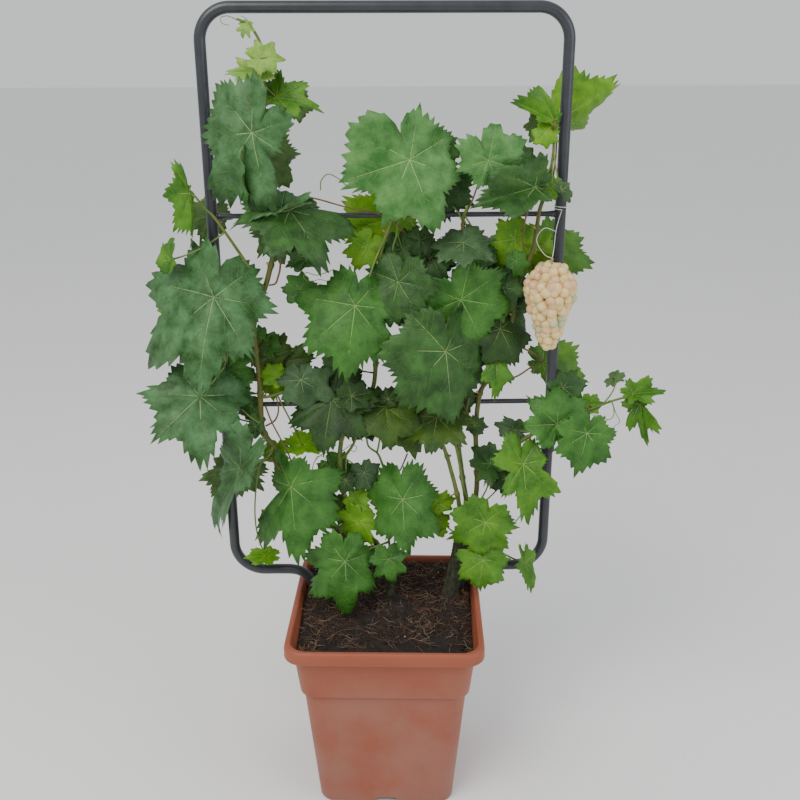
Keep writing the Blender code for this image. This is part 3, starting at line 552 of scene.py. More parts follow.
def barked(path, radii, kind, seed):
    """A limb's mesh with its relief: deep uneven strips on old wood, fine ridges and swollen nodes on a cane."""
    chance = random.Random(seed)
    sides = 30 if kind == "old" else 16
    path = spaced(path, 1.8 if kind == "old" else 2.2)
    count = len(path)
    rings = tube(path, 1.0, sides, rings_only=True)
    strips = [(chance.randint(3, 9), chance.uniform(0, math.tau), chance.uniform(0.02, 0.09), chance.uniform(-1, 1)) for _ in range(7)]
    first_node = chance.uniform(14, NODE_STEP)
    shaped = []
    for i, ring in enumerate(rings):
        middle = path[i]
        run = i * (1.8 if kind == "old" else 2.2)
        base = radii[0] + (radii[1] - radii[0]) * i / (count - 1)
        row = []
        for side, point in enumerate(ring):
            a = math.tau * side / sides
            if kind == "old":
                relief = sum(
                    depth * math.sin(turns * a + phase + run * 0.05 * slant + 0.7 * math.sin(run * 0.23 + phase))
                    for turns, phase, depth, slant in strips
                )
                relief += 0.5 * math.exp(-run / 9)
                relief += 0.05 * math.sin(run * 1.3 + 5 * a)
            else:
                relief = 0.045 * math.cos(7 * a) + 0.02 * math.sin(run * 0.21 + a)
                away = (run - first_node) % NODE_STEP
                away = min(away, NODE_STEP - away)
                relief += 0.36 * math.exp(-((away / 3.4) ** 2))
            row.append(middle + (point - middle) * base * (1 + relief))
        shaped.append(row)
    return stack(shaped), [path[int((first_node + k * NODE_STEP) / 2.2)] for k in range(40) if first_node + k * NODE_STEP < 2.2 * (count - 2)]


bud_shapes = []
for order, (name, places, radii, kind) in enumerate(LIMBS):
    path = smooth_path([at(*place) for place in places], 8)
    shape, node_places = barked(path, radii, kind, 40 + order)
    piece = joined(name + "_wood", [shape], BARKS[kind])
    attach(piece, "root")
    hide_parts(name)
    if kind != "old":
        for k, spot in enumerate(node_places):
            side = 1 if k % 2 else -1
            heading = Vector((side * 0.8, -0.35, 0.75)).normalized()
            bud = [spot + heading * d * MM for d in (1.5, 3.4, 5.2, 6.8, 7.6)]
            bud_shapes.append(tube(bud, [1.5, 2.0, 1.8, 1.0, 0.3], 8))
bud_scale = mottled("winter_bud_scale", "8A6A3E", "A08A4E", 4, 0.7, 0.2, 0.6)
buds = joined("cane_buds", bud_shapes, bud_scale)
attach(buds, "root")


# The leaves: thin five-lobed blades with saw edges, puckered between pale raised veins, each on a long stalk.
# They follow the source's rule: leading leaves off one stem, and seeded leaves behind them that face the back.

SEED = 11
LEAF_THICK, LEAF_DROOP, LEAF_CLEAR = 1.6, 0.12, 0.5
LEAF_EDGE = ((0, 1.00), (24, 0.80), (48, 0.95), (72, 0.75), (98, 0.84), (143, 0.70), (172, 0.15))
SMALL_EDGE = ((0, 1.00), (30, 0.80), (54, 0.92), (100, 0.80), (145, 0.66), (172, 0.15))
SMALL_LEAF, BACKED_LEAF = 36, 40
PETIOLE = 1.3
PETIOLE_BOW = (0.35, 0.25)
PETIOLE_JOINT = (0.04, 0.01)
FEET_TRIED = 4
STEPS = (0, 3, -3, 6, -6, 9, -9, 13, -13, 18, -18, 24)
SWAYS = (
    (0, 0, 0), (0, -16, 0), (14, 0, 0), (-14, 0, 0), (0, 0, 14), (0, 16, 0), (22, -12, 0), (-22, -12, 0),
)
BACK_OUT, BACK_DROP, BACK_SIZE, BACK_TRIES = (-62, -26), 0.36, (0.62, 0.8), 8

# Angle of each lobe's tip from the midrib and its reach, with the reach of the notches between the lobes.
LOBE_ANGLES, LOBE_REACH = (0, 48, 97, 140), (1.0, 0.95, 0.86, 0.72)
NOTCH_ANGLES, NOTCH_CUT = (25, 74, 120), (0.22, 0.27, 0.12)
CLOSING = ((152, 0.66), (161, 0.56), (167, 0.4))
BLADE_RINGS = (0.09, 0.2, 0.33, 0.46, 0.6, 0.73, 0.86, 1.0)
BLADE_THICK = 0.34

# Name, cane, stem, and leading leaves: across, up, out, length, turn, swing, tilt, fold, width and tint, then
# how deep the notches are cut, and the reach of the seven lobes from the left back one round to the right.
MASSES = (
    ("leaves_left", "cane_left", ((-166, 640, 12), (-182, 644, 20), (-196, 632, 26), (-206, 606, 24)), (
        (-208, 704, 52, 112, -11, -3, 30, -18, 0.95, "dusky", (0.9, 1.3, 1.1, 0.8, 0.7, 0.6), (0.95, 1.14, 1.22, 0.98, 0.8, 0.78, 0.82)),
        (-236, 573, 44, 87, -5, 15, 36, -6, 1.0, "dusky", 0.9, (0.86, 1.02, 0.95, 1.05, 0.76, 0.97, 0.95)),
        (-158, 629, 6, 32, -27, 0, 22, 10, 1.0, "mid"),
    )),
    ("leaves_heart", "cane_centre_right", ((101, 650, 9), (92, 640, 20), (84, 612, 28), (80, 570, 26)), (
        (76, 634, 60, 94, 3, 20, 10, -18, 0.95, "deep", 0.6, (1.0, 1.06, 1.0, 1.0, 0.92, 0.92, 0.9)),
        (90, 646, 30, 16, 35, 0, 24, 0, 1.0, "bright"),
        (68, 536, 34, 56, 0, -15, 58, -10, 1.05, "olive"),
        (119, 518, 16, 18, 85, -5, 24, 10, 0.9, "dark"),
        (1, 549, 24, 46, -2, 10, 50, 0, 1.05, "olive", 1.0, (1, 1.2, 1.2, 1.1, 1.3, 1.3, 1)),
        (96, 694, 36, 64, 28, 0, 5, 0, 1.1, "mid", 0.8),
    )),
    ("leaves_centre", "cane_centre", ((-7, 690, 9), (-14, 698, 18), (-28, 704, 24), (-44, 704, 24)), (
        (-36, 691, 50, 86, -10, 5, 26, -18, 0.95, "mid", (0.6, 0.9, 1.0, 0.8, 1.2, 0.8), (0.9, 1.12, 1.04, 1.0, 0.98, 0.9, 0.8)),
        (18, 716, 26, 58, -10, -20, 20, 0, 1.0, "deep", 0.8),
        (-106, 700, 6, 27, -145, 0, 25, 0, 1.0, "mid"),
    )),
    ("leaves_top_centre", "cane_centre", ((14, 797, 11), (22, 818, 14), (28, 842, 20), (24, 858, 26)), (
        (31, 866, 50, 92, 22, 10, 5, -8, 1.0, "misty", (0.9, 1.0, 0.8, 0.8, 0.8, 0.9), (1.22, 1.02, 0.88, 0.96, 0.8, 0.78, 0.9)),
        (66, 876, 22, 30, 80, 0, 24, 0, 1.0, "mid"),
        (-13, 849, 20, 22, -90, 0, 28, 25, 0.9, "grey"),
        (1, 782, -24, 64, -80, 20, 20, 24, 0.9, "lit", 0.9),
        (46, 764, 8, 29, 0, 0, 24, 32, 0.85, "dark"),
    )),
    ("leaves_centre_right", "cane_centre_right", ((99, 783, 9), (99, 792, 14), (101, 800, 18), (104, 808, 18)), (
        (98, 765, 16, 44, 10, -15, 62, 0, 1.1, "grey"),
        (134, 722, 16, 32, 85, -20, 50, 0, 1.0, "grey"),
    )),
    ("leaves_low_left", "cane_left", ((-150, 490, 11), (-152, 484, 22), (-160, 478, 28), (-172, 476, 30)), (
        (-125, 448, 50, 105, 8, -15, 18, -30, 0.85, "mid", (1.0, 1.4, 2.0, 0.7, 0.7, 1.0), (0.76, 0.6, 1.2, 0.97, 0.88, 0.88, 0.62)),
        (-192, 470, 38, 92, -30, -40, 15, 38, 0.75, "dusky", (1.0, 1.0, 0.6, 0.6, 1.2, 1.0), (1.2, 0.7, 0.5, 1.4, 1.1, 0.9, 1.2)),
        (-146, 471, -10, 27, -105, 5, 20, 20, 0.9, "lit"),
        (-166, 327, 18, 30, -92, 10, 30, 40, 0.7, "lit"),
    )),
    ("leaves_foot_centre", "trunk_left", ((4, 300, 9), (6, 318, 18), (4, 350, 26), (0, 384, 30)), (
        (-56, 341, 62, 76, 0, 10, 18, -22, 0.9, "mid", 1.3, (0.95, 0.95, 1.05, 1.0, 0.95, 0.95, 0.85)),
        (22, 427, 52, 76, 4, -5, 24, -28, 0.85, "mid", (1.0, 0.8, 0.9, 1.0, 0.9, 1.0), (1.05, 1.0, 0.98, 0.95, 1.05, 0.98, 1.05)),
        (3, 333, 44, 34, 8, -5, 25, 10, 0.97, "mid", 1.3),
        (-38, 380, 16, 38, -15, -15, 16, 0, 1.0, "lime", 1.6),
        (75, 359, 14, 12, 130, -5, 23, 0, 1.0, "lit"),
    )),
    ("leaves_foot_right", "trunk_right", ((109, 350, 11), (118, 348, 20), (134, 342, 26), (156, 334, 26)), (
        (134, 388, 46, 50, -12, -5, 12, 8, 1.1, "bright", 0.9, (1.1, 1.1, 1.12, 1, 0.95, 0.95, 1)),
        (132, 331, 50, 44, -8, 0, 23, 8, 0.97, "bright", 0.9, (1, 1.05, 1.05, 0.95, 1.05, 1, 1)),
        (193, 318, 34, 44, 5, 50, 20, 26, 0.6, "bright", 1.0, (1.15, 1, 1, 1.05, 1, 1, 1)),
    )),
    ("leaves_low_right", "cane_right", ((124, 450, 7), (136, 446, 0), (150, 450, 0), (166, 458, 6)), (
        (182, 472, 44, 76, 0, 10, 28, 26, 0.9, "bright", (0.8, 2.2, 1.4, 1.0, 1.0, 1.2), (0.92, 0.9, 0.82, 1.02, 0.9, 0.55, 0.72)),
        (141, 463, 18, 34, -140, 10, 20, 18, 0.95, "deep"),
        (163, 441, 18, 26, -5, 5, 26, 10, 0.95, "dark"),
    )),
    ("leaves_far_right", "cane_far_right", (
        (240, 525, 19), (252, 530, 19), (276, 540, 18), (300, 549, 17), (322, 556, 18),
    ), (
        (261, 520, 44, 53, -12, 10, 10, 6, 1.0, "mid", 0.8, (0.9, 0.95, 1, 1.08, 1.02, 0.95, 0.8)),
        (225, 526, 30, 52, 178, 0, 15, 0, 1.0, "mid"),
        (270, 543, 12, 21, 95, -10, 20, 20, 0.9, "bright"),
        (327, 560, 20, 42, 102, -20, 35, 36, 0.8, "bright", 1.6, (0.55, 0.7, 0.95, 1, 1, 0.8, 0.6)),
        (332, 550, 22, 22, -18, 20, 16, 22, 0.9, "bright"),
        (337, 547, 24, 56, 20, -45, 10, 34, 0.85, "bright", 2.0, (0.5, 0.6, 0.85, 1, 1.05, 0.45, 0.3)),
    )),
    ("leaves_left_inner", "cane_left", ((-163, 560, 12), (-152, 562, 18), (-128, 570, 20), (-98, 570, 20)), (
        (-69, 562, 30, 70, -5, -10, 35, 0, 1.0, "dark"),
        (-108, 588, 22, 44, 10, 0, 20, 0, 1.0, "grey", 1.2, (0.8, 0.8, 0.9, 1.0, 1.25, 1.15, 0.8)),
        (-150, 577, -14, 29, 5, -10, 22, 0, 1.0, "lit"),
        (-112, 482, -6, 42, 98, -10, 40, 40, 0.7, "lit"),
        (-43, 569, 40, 32, 100, 0, 24, 24, 0.9, "dark"),
    )),
    ("leaves_inner_low", "cane_centre", ((-61, 470, 10), (-52, 478, 16), (-40, 500, 20), (-34, 530, 20)), (
        (4, 559, 20, 17, 145, 0, 20, 0, 1.0, "dark"),
        (-29, 449, 16, 28, 20, 0, 15, 0, 1.0, "grey"),
        (-54, 442, 24, 20, -15, 5, 24, 18, 0.95, "dark"),
    )),
    ("leaves_top_left", "cane_left", (
        (-139, 868, 12), (-140, 876, 12), (-141, 920, 12), (-138, 976, 10), (-141, 996, 10), (-152, 1014, 11),
        (-166, 1021, 12),
    ), (
        (-150, 898, 58, 88, -38, -25, 10, 0, 1.0, "dusky", (0.7, 0.5, 0.8, 0.9, 1.0, 0.5), (1.05, 1.08, 0.86, 1.14, 1.08, 0.55, 0.92)),
        (-162, 858, 46, 44, -2, -55, 10, 37, 0.8, "mid"),
        (-124, 935, 16, 55, 78, -15, 45, 32, 0.85, "bright", 1.3, (0.8, 0.95, 1.15, 1, 0.9, 0.75, 0.7)),
        (-146, 962, 20, 34, -95, 5, 30, 37, 0.8, "pale", 1.3),
        (-139, 978, 12, 27, 90, 0, 20, 18, 0.95, "pale", 1.4),
        (-156, 1012, 14, 13, -25, -5, 20, 0, 1.0, "pale", 2.2),
    )),
    ("leaves_shoulder_left", "cane_left", ((-132, 800, 12), (-128, 808, 20), (-120, 812, 26), (-112, 812, 28)), (
        (-113, 806, 40, 82, 22, 15, 52, 0, 1.0, "deep", 1.2, (0.8, 0.95, 1.0, 1.0, 1.05, 0.6, 0.4)),
        (-122, 808, 34, 64, -68, -20, 60, 50, 0.55, "dusky"),
    )),
    ("leaves_side_left", "cane_left", (
        (-150, 706, 11), (-160, 716, 18), (-170, 738, 20), (-183, 760, 20), (-205, 795, 21), (-216, 807, 22),
        (-226, 822, 26),
    ), (
        (-232, 826, 30, 68, 4, 50, 8, -26, 0.46, "bright", 0.8, (0.95, 0.85, 0.95, 1.0, 0.45, 0.3, 0.25)),
        (-263, 745, 24, 29, -175, -45, 10, 26, 0.9, "bright"),
    )),
    ("leaves_top_right", "cane_right", (
        (205, 845, 10), (206, 852, 9), (208, 872, 8), (207, 890, 8), (206, 902, 8),
    ), (
        (214, 903, -18, 96, 120, 5, 5, -38, 0.8, "lime", 0.7, (0.2, 0.2, 0.66, 1.1, 1.05, 0.6, 0.3)),
        (125, 864, 42, 50, 22, 5, 10, 0, 1.0, "misty", (1.2, 0.9, 0.8, 0.8, 0.8, 2.0), (1.2, 0.85, 0.75, 1.05, 1.15, 1.25, 1.2)),
        (182, 832, 22, 80, -78, 15, 20, 41, 0.75, "deep", 0.7, (0.5, 0.9, 1.0, 1.0, 0.95, 0.6, 0.3)),
        (207, 906, 8, 56, -118, -10, 20, 41, 0.75, "bright", 0.7, (0.2, 0.4, 1.1, 1.05, 0.5, 0.25, 0.2)),
        (199, 893, 18, 20, -50, 0, 26, 0, 1.0, "lit"),
        (205, 829, 24, 21, -130, 5, 20, 0, 1.0, "bright"),
        (217, 826, 22, 19, 30, 15, 26, 37, 0.8, "grey"),
    )),
    ("leaves_right_back", "cane_right", ((169, 700, 12), (176, 698, 2), (188, 706, -14), (198, 724, -22)), (
        (219, 742, -36, 64, 70, 10, 15, -22, 0.9, "bright"),
        (196, 746, -24, 48, -115, 0, 15, -26, 0.9, "lime"),
    )),
    ("leaves_right", "cane_right", ((161, 630, 11), (156, 634, 18), (152, 636, 20), (148, 630, 20)), (
        (212, 592, -24, 56, 65, 0, 10, -34, 1.0, "bright", 0.8, (0.5, 0.5, 0.75, 1.25, 1.2, 1.2, 0.7)),
        (150, 652, 10, 46, 35, 28, 25, -18, 0.9, "dark", 0.9, (1.1, 1.1, 1.1, 1.1, 1.1, 1.1, 1.1)),
        (144, 608, 20, 42, -5, 15, 30, 18, 0.85, "bright", 1.0, (0.6, 0.6, 0.9, 1.05, 0.95, 0.7, 0.6)),
    )),
)

# Young leaves at the tips of finer side twigs, with the twig's foot on its cane: leaf row, then foot.
YOUNG_LEAVES = (
    ((-148, 612, 4, 36, 150, -5, 20, 12, 0.8, "olive", 1.0), (-163, 600, 12)),
    ((-124, 606, 2, 34, 100, -5, 20, 12, 0.8, "olive", 1.0), (-163, 590, 12)),
    ((-176, 545, 6, 22, -60, 0, 20, 10, 0.9, "deep"), (-163, 522, 12)),
    ((-140, 590, 16, 24, -100, 0, 24, 20, 0.9, "lime"), (-164, 584, 12)),
    ((-172, 520, 18, 24, 160, 10, 20, 30, 0.7, "deep"), (-162, 519, 12)),
    ((-96, 742, 4, 30, -70, 0, 15, 30, 0.7, "deep"), (-138, 752, 12)),
    ((60, 742, 4, 44, -20, 0, 30, 10, 0.9, "deep"), (13, 790, 11)),
    ((24, 752, 6, 40, 20, -10, 30, 16, 0.8, "deep"), (12, 790, 11)),
    ((-20, 756, 2, 34, -30, 0, 24, 0, 0.9, "lime"), (-3, 750, 9)),
    ((44, 690, 10, 46, 10, 0, 24, 0, 0.9, "deep"), (99, 700, 9)),
    ((60, 732, 6, 40, -170, 0, 20, 0, 0.9, "dark"), (99, 734, 9)),
    ((118, 740, 12, 30, 120, 0, 20, 20, 0.8, "deep"), (100, 742, 9)),
    ((150, 700, 2, 50, -160, 10, 20, 0, 0.9, "dark"), (168, 700, 12)),
    ((168, 676, 4, 40, -10, 20, 20, 0, 0.8, "deep"), (168, 690, 12)),
    ((128, 630, 8, 40, -100, 0, 20, 0, 0.9, "deep"), (155, 616, 11)),
    ((166, 762, 0, 42, -40, 0, 20, 10, 0.9, "lime"), (188, 753, 12)),
    ((30, 530, 10, 52, 10, 0, 40, 0, 1.0, "olive"), (97, 520, 9)),
    ((96, 560, 6, 34, 30, 0, 20, 0, 0.9, "deep"), (126, 556, 10)),
    ((148, 652, 24, 50, 24, 10, 25, -10, 1.0, "dark", 0.8), (160, 628, 12)),
    ((150, 706, 22, 38, -24, 0, 20, 0, 0.9, "deep", 0.8), (168, 696, 12)),
    ((166, 738, 18, 24, 30, 10, 20, 10, 0.8, "mid"), (176, 722, 12)),
    ((138, 672, 16, 30, -60, 0, 20, 0, 0.9, "mid"), (166, 672, 12)),
    ((-60, 600, 6, 34, 30, 0, 30, 0, 0.9, "deep"), (-14, 590, 9)),
    ((-26, 520, 6, 34, -80, 0, 30, 10, 0.9, "dark"), (-50, 527, 9)),
    ((175, 505, 6, 30, -110, 0, 20, 20, 0.7, "grey"), (200, 506, 18)),
    ((236, 566, 10, 34, 100, 0, 20, 0, 0.9, "deep", 0.8), (240, 526, 19)),
    ((72, 402, 14, 26, 100, 0, 20, 20, 0.8, "lime"), (97, 420, 20)),
    ((70, 376, 12, 22, 60, 0, 20, 10, 0.9, "lime"), (106, 346, 12)),
    ((-40, 404, 12, 28, 160, 0, 20, 14, 0.9, "lime", 1.3), (-54, 408, 8)),
    ((-62, 392, 10, 28, -150, 0, 20, 14, 0.9, "olive", 1.3), (-40, 384, 7)),
    ((-70, 452, 4, 34, 40, 10, 20, 0, 0.9, "mid"), (-60, 440, 9)),
    ((-163, 366, 6, 26, -160, 0, 20, 30, 0.6, "lime"), (-110, 404, 10)),
    ((-205, 596, 2, 60, -80, 0, 20, 0, 0.9, "mid"), (-163, 583, 12)),
    ((-238, 660, 4, 56, -110, 0, 20, 0, 0.8, "lime"), (-167, 645, 12)),
    ((-118, 770, 0, 30, 10, 0, 20, 30, 0.6, "dusky"), (-132, 768, 12)),
    ((150, 860, 2, 46, 60, 0, 20, 0, 0.9, "deep"), (203, 836, 11)),
    ((70, 830, 0, 50, 60, 0, 10, 0, 0.9, "deep"), (18, 810, 12)),
)
# Leaf tints: the leaves' own greens, with painted light in some. "dark" is painted shade on leaves deep in the plant,
# "lit" and "bright" are painted light shining through the thin blades, and the pale second colours of "dusky", "misty"
# and "grey" are a painted bluish sheen from the sky.
TINTS = {
    "dusky": ("1E4410", "4E7A4A"), "deep": ("16380C", "3A6428"), "mid": ("20500C", "44782A"),
    "bright": ("2C5C08", "56881C"), "lime": ("3E7204", "6E9C0C"), "lit": ("447802", "72A40C"),
    "pale": ("5E8A2C", "92B450"), "dark": ("102C06", "2A4C14"), "grey": ("1E3C18", "44623C"),
    "misty": ("2E6222", "5E8E4C"), "olive": ("203E06", "405C12"),
}
BACK_TINTS = ("mid", "deep", "bright", "olive")
BACK_GROWN = 0.78


def leaf_axes(turn, swing, tilt):
    turn, swing, tilt = (math.radians(angle) for angle in (turn, swing, tilt))
    face = Vector((math.sin(swing) * math.cos(tilt), -math.cos(swing) * math.cos(tilt), math.sin(tilt)))
    down = Vector((0, 0, -1))
    down = (down - face * down.dot(face)).normalized()
    midrib = down * math.cos(turn) + face.cross(down) * math.sin(turn)
    return midrib, face.cross(midrib), face


def leaf_plate(hub, length, turn, swing, tilt, fold, spare=0.0):
    """The source's plain plate, which finds a leaf its place."""
    midrib, side, face = leaf_axes(turn, swing, tilt)
    midrib = (midrib - face * LEAF_DROOP).normalized()
    fold = math.radians(fold)
    half_edge = LEAF_EDGE if length > SMALL_LEAF else SMALL_EDGE
    edge = list(half_edge) + [(-angle, reach) for angle, reach in half_edge[:0:-1]]
    half_thick = (LEAF_THICK / 2 + spare) * MM
    size = (length + spare) * MM
    rim = []
    for angle, reach in edge:
        along = size * reach * math.cos(math.radians(angle))
        aside = size * reach * math.sin(math.radians(angle))
        rim.append(hub + midrib * along + side * aside * math.cos(fold) + face * abs(aside) * math.sin(fold))
    count = len(rim)
    points = [point + face * half_thick for point in rim] + [point - face * half_thick for point in rim]
    points += [hub + face * half_thick, hub - face * half_thick]
    faces = []
    for i in range(count):
        j = (i + 1) % count
        faces += [[2 * count, j, i], [2 * count + 1, count + i, count + j], [i, j, count + j, count + i]]
    return points, faces


def tree_of(shape):
    return BVHTree.FromPolygons([tuple(point) for point in shape[0]], shape[1])


def node_tree(name):
    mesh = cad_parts[name].data
    return BVHTree.FromPolygons([v.co.copy() for v in mesh.vertices], [list(p.vertices) for p in mesh.polygons])


def petiole_points(hub, face, foot, sway, steps):
    along, behind = PETIOLE_BOW
    bow = hub + (foot - hub) * along - face * (hub - foot).length * behind + sway
    return [
        foot * (1 - step / steps) ** 2 + bow * 2 * (step / steps) * (1 - step / steps) + hub * (step / steps) ** 2
        for step in range(steps + 1)
    ]


def place_leaf(others, stem, row, placed, crossing):
    """The hub and petiole of the leaf at the first small step out or back at which both keep clear."""
    across, up, out, length, turn, swing, tilt, fold = row[:8]
    midrib, side, face = leaf_axes(turn, swing, tilt)
    down, aside = PETIOLE_JOINT
    own = [tree_of(shape) for shape in placed]
    for avoided in ((own, ()) if crossing else (own,)):
        for step in STEPS:
            hub = at(across, up, out + step)
            plate = tree_of(leaf_plate(hub, length, turn, swing, tilt, fold, LEAF_CLEAR))
            if any(plate.overlap(other) for other in [*others, *avoided]):
                continue
            joint = hub + (midrib * down + side * aside) * length * MM
            for foot in sorted(stem, key=lambda point: (point - hub).length)[:FEET_TRIED]:
                for sway in SWAYS:
                    stalk = petiole_points(joint, face, foot, Vector(sway) * MM, 3)
                    thin = tree_of(tube(stalk, PETIOLE + LEAF_CLEAR, 3))
                    if any(thin.overlap(other) for other in [*others, *avoided]):
                        continue
                    placed.append(leaf_plate(hub, length, turn, swing, tilt, fold))
                    placed.append(tube(stalk, PETIOLE, 3))
                    return hub, petiole_points(hub - face * 0.2 * MM, face, foot, Vector(sway) * MM, 12)
    return None


def partner(row, chance):
    across, up, out, length, turn = row[:5]
    behind = chance.uniform(*BACK_OUT)
    drop = (out - behind) * BACK_DROP
    return (
        across + chance.uniform(-22, 22), up - drop + chance.uniform(-14, 18), behind,
        length * chance.uniform(*BACK_SIZE), turn * -0.5 + chance.uniform(-30, 30),
        180 + chance.uniform(-28, 28), chance.uniform(12, 34), chance.uniform(-18, 12),
    )


class Blade:
    """One leaf's curved surface, on which its blade and its veins are laid."""

    def __init__(self, hub, length, turn, swing, tilt, fold, width, cut, lobes, seed):
        self.chance = chance = random.Random(seed)
        self.hub = np.array(hub)
        self.axes = [np.array(axis) for axis in leaf_axes(turn, swing, tilt)]
        self.length, self.fold, self.width = length, math.radians(fold), width
        self.waves = [(chance.choice((2, 3, 4, 5, 7)), chance.uniform(0, math.tau), chance.uniform(0.01, 0.03)) for _ in range(4)]
        self.bow, self.twist = chance.uniform(-0.2, 0.0), chance.uniform(-0.1, 0.1)
        self.droop = chance.uniform(0.1, 0.26)
        signs = [-angle for angle in LOBE_ANGLES[:0:-1]] + list(LOBE_ANGLES)
        self.ribs = [angle + chance.uniform(-3, 3) * (angle != 0) for angle in signs]
        tips = [LOBE_REACH[LOBE_ANGLES.index(abs(angle))] for angle in signs]
        tips = [reach * each * chance.uniform(0.95, 1.04) for reach, each in zip(tips, lobes)]
        cuts = cut if isinstance(cut, tuple) else (cut,) * 6
        shape = []
        for i, (angle, reach) in enumerate(zip(self.ribs, tips)):
            shape += [(angle - 7, reach * 0.93), (angle, reach), (angle + 7, reach * 0.93)]
            if i + 1 < len(tips):
                between = (angle + self.ribs[i + 1]) / 2 + chance.uniform(-2, 2)
                depth = NOTCH_CUT[NOTCH_ANGLES.index(min(NOTCH_ANGLES, key=lambda a: abs(a - abs(between))))]
                shape.append((between, min(reach, tips[i + 1]) * (1 - min(0.55, depth * cuts[i] * chance.uniform(0.85, 1.15)))))
        ends = [(angle, reach * tips[-1] / LOBE_REACH[-1]) for angle, reach in CLOSING]
        starts = [(-angle, reach * tips[0] / LOBE_REACH[-1]) for angle, reach in CLOSING[::-1]]
        self.outline = starts + shape + ends
        self.curls = [chance.uniform(-0.16, 0.05) for _ in self.ribs]

    def reach(self, angle):
        """Distance from hub to the untoothed edge, for an angle in degrees."""
        return np.interp(angle, [a for a, _ in self.outline], [r for _, r in self.outline])

    def lay(self, along, aside, lift=0.0):
        """World points of places on the leaf, in shares of its length, raised by lift in millimetres."""
        along, aside = np.asarray(along, float), np.asarray(aside, float)
        r = np.hypot(along, aside)
        angle = np.degrees(np.arctan2(aside, along))
        marks = [-185, *self.ribs, 185]
        place = np.interp(angle, marks, range(len(marks)))
        pucker = np.abs(np.sin(np.pi * place)) ** 0.7 * r * (0.075 - 0.02 * r)
        quilt = np.sin(r * 26 + place * 4) * np.abs(np.sin(np.pi * place)) * 0.009
        edge = np.clip(r / np.maximum(self.reach(angle), 0.05), 0, 1.05)
        wave = sum(depth * np.sin(turns * np.radians(angle) + phase) for turns, phase, depth in self.waves)
        curl = np.interp(place, range(1, len(self.ribs) + 1), self.curls) * np.clip(edge - 0.4, 0, 1) ** 1.5 * 1.7
        height = pucker + quilt + wave * edge**2 * 1.4 + curl * r
        height += -self.droop * along * np.abs(along) + self.bow * aside**2 + self.twist * along * aside
        height += np.where(angle > 160, 0.012, 0) * np.clip(r * 3, 0, 1)
        close = np.clip((np.abs(angle) - 120) / 47, 0, 1) ** 2 * np.clip((r - 0.12) / 0.14, 0, 1) * 13.6
        turned = np.radians(angle + np.sign(angle) * close)
        along, aside = r * np.cos(turned), r * np.sin(turned)
        wide = aside * self.width
        soft = np.sqrt(wide**2 + 0.0009) - 0.03
        height = height + soft * math.sin(self.fold)
        wide = wide * math.cos(self.fold)
        midrib, side, face = self.axes
        size = self.length * MM
        flat = np.multiply.outer(along * size, midrib) + np.multiply.outer(wide * size, side)
        return self.hub + flat + np.multiply.outer(height * size + np.asarray(lift) * MM, face)

    def mesh(self):
        """Closed blade: upper side, under side and rim. Returns points, faces and a mark for each face."""
        chance = self.chance
        count = int(max(15, min(46, 0.62 * self.length)))
        stops = np.cumsum([chance.uniform(0.55, 1.45) for _ in range(count)])
        stops = np.concatenate([[0], stops]) / stops[-1] * 334 - 167
        angles, tooth = [], []
        for start, stop in zip(stops, stops[1:]):
            nearest = min(abs((start + stop) / 2 - rib) for rib in self.ribs)
            size = chance.choice((0.5, 0.75, 1.0, 1.35)) * (1.25 if nearest < 7 else 1.0) * min(1.0, 26 / count + 0.35)
            lean = 0.62 if min(self.ribs, key=lambda rib: abs(rib - start)) > start else 0.38
            angles += [start, start + (stop - start) * lean * 0.55, start + (stop - start) * lean]
            tooth += [-0.05 * size, 0.02 * size, 0.08 * size]
        angles, tooth = np.array([*angles, 167.0]), np.array([*tooth, 0.0])
        reach = self.reach(angles)
        radius = np.array([reach * share * (1 + tooth * share**9) for share in BLADE_RINGS])
        along = radius * np.cos(np.radians(angles))
        aside = radius * np.sin(np.radians(angles))
        top = np.vstack([self.lay(along, aside).reshape(-1, 3), self.lay(0.0, 0.0).reshape(1, 3)])
        under = top - self.axes[2] * BLADE_THICK * MM
        rays, rings, total = len(angles), len(BLADE_RINGS), len(top)
        faces, marks = [], []
        for ray in range(rays):
            after = (ray + 1) % rays
            faces += [[total - 1, ray, after], [2 * total - 1, total + after, total + ray]]
            marks += [0, 1]
            for ring in range(rings - 1):
                a, b = ring * rays + ray, ring * rays + after
                c, d = (ring + 1) * rays + after, (ring + 1) * rays + ray
                faces += [[a, d, c, b], [total + a, total + b, total + c, total + d]]
                marks += [0, 1]
            a, b = (rings - 1) * rays + ray, (rings - 1) * rays + after
            faces.append([a, total + a, total + b, b])
            marks.append(0)
        return np.vstack([top, under]), faces, marks

    def vein(self, along, aside, halves):
        """A raised three-sided vein through places on the upper side, its half width in millimetres."""
        along, aside, halves = np.array(along), np.array(aside), np.array(halves)
        step = np.stack([np.gradient(along), np.gradient(aside)], 1)
        step /= np.maximum(np.linalg.norm(step, axis=1, keepdims=True), 1e-9)
        half = halves / self.length
        left = self.lay(along - step[:, 1] * half, aside + step[:, 0] * half, 0.03)
        right = self.lay(along + step[:, 1] * half, aside - step[:, 0] * half, 0.03)
        crest = self.lay(along, aside, 0.06 + halves * 0.7)
        points = np.stack([left, crest, right], 1).reshape(-1, 3)
        faces, last = [[0, 1, 2]], len(along) - 1
        for i in range(last):
            for side in range(3):
                after = (side + 1) % 3
                faces.append([3 * i + after, 3 * i + side, 3 * i + 3 + side, 3 * i + 3 + after])
        faces.append([3 * last + 2, 3 * last + 1, 3 * last])
        return points, faces

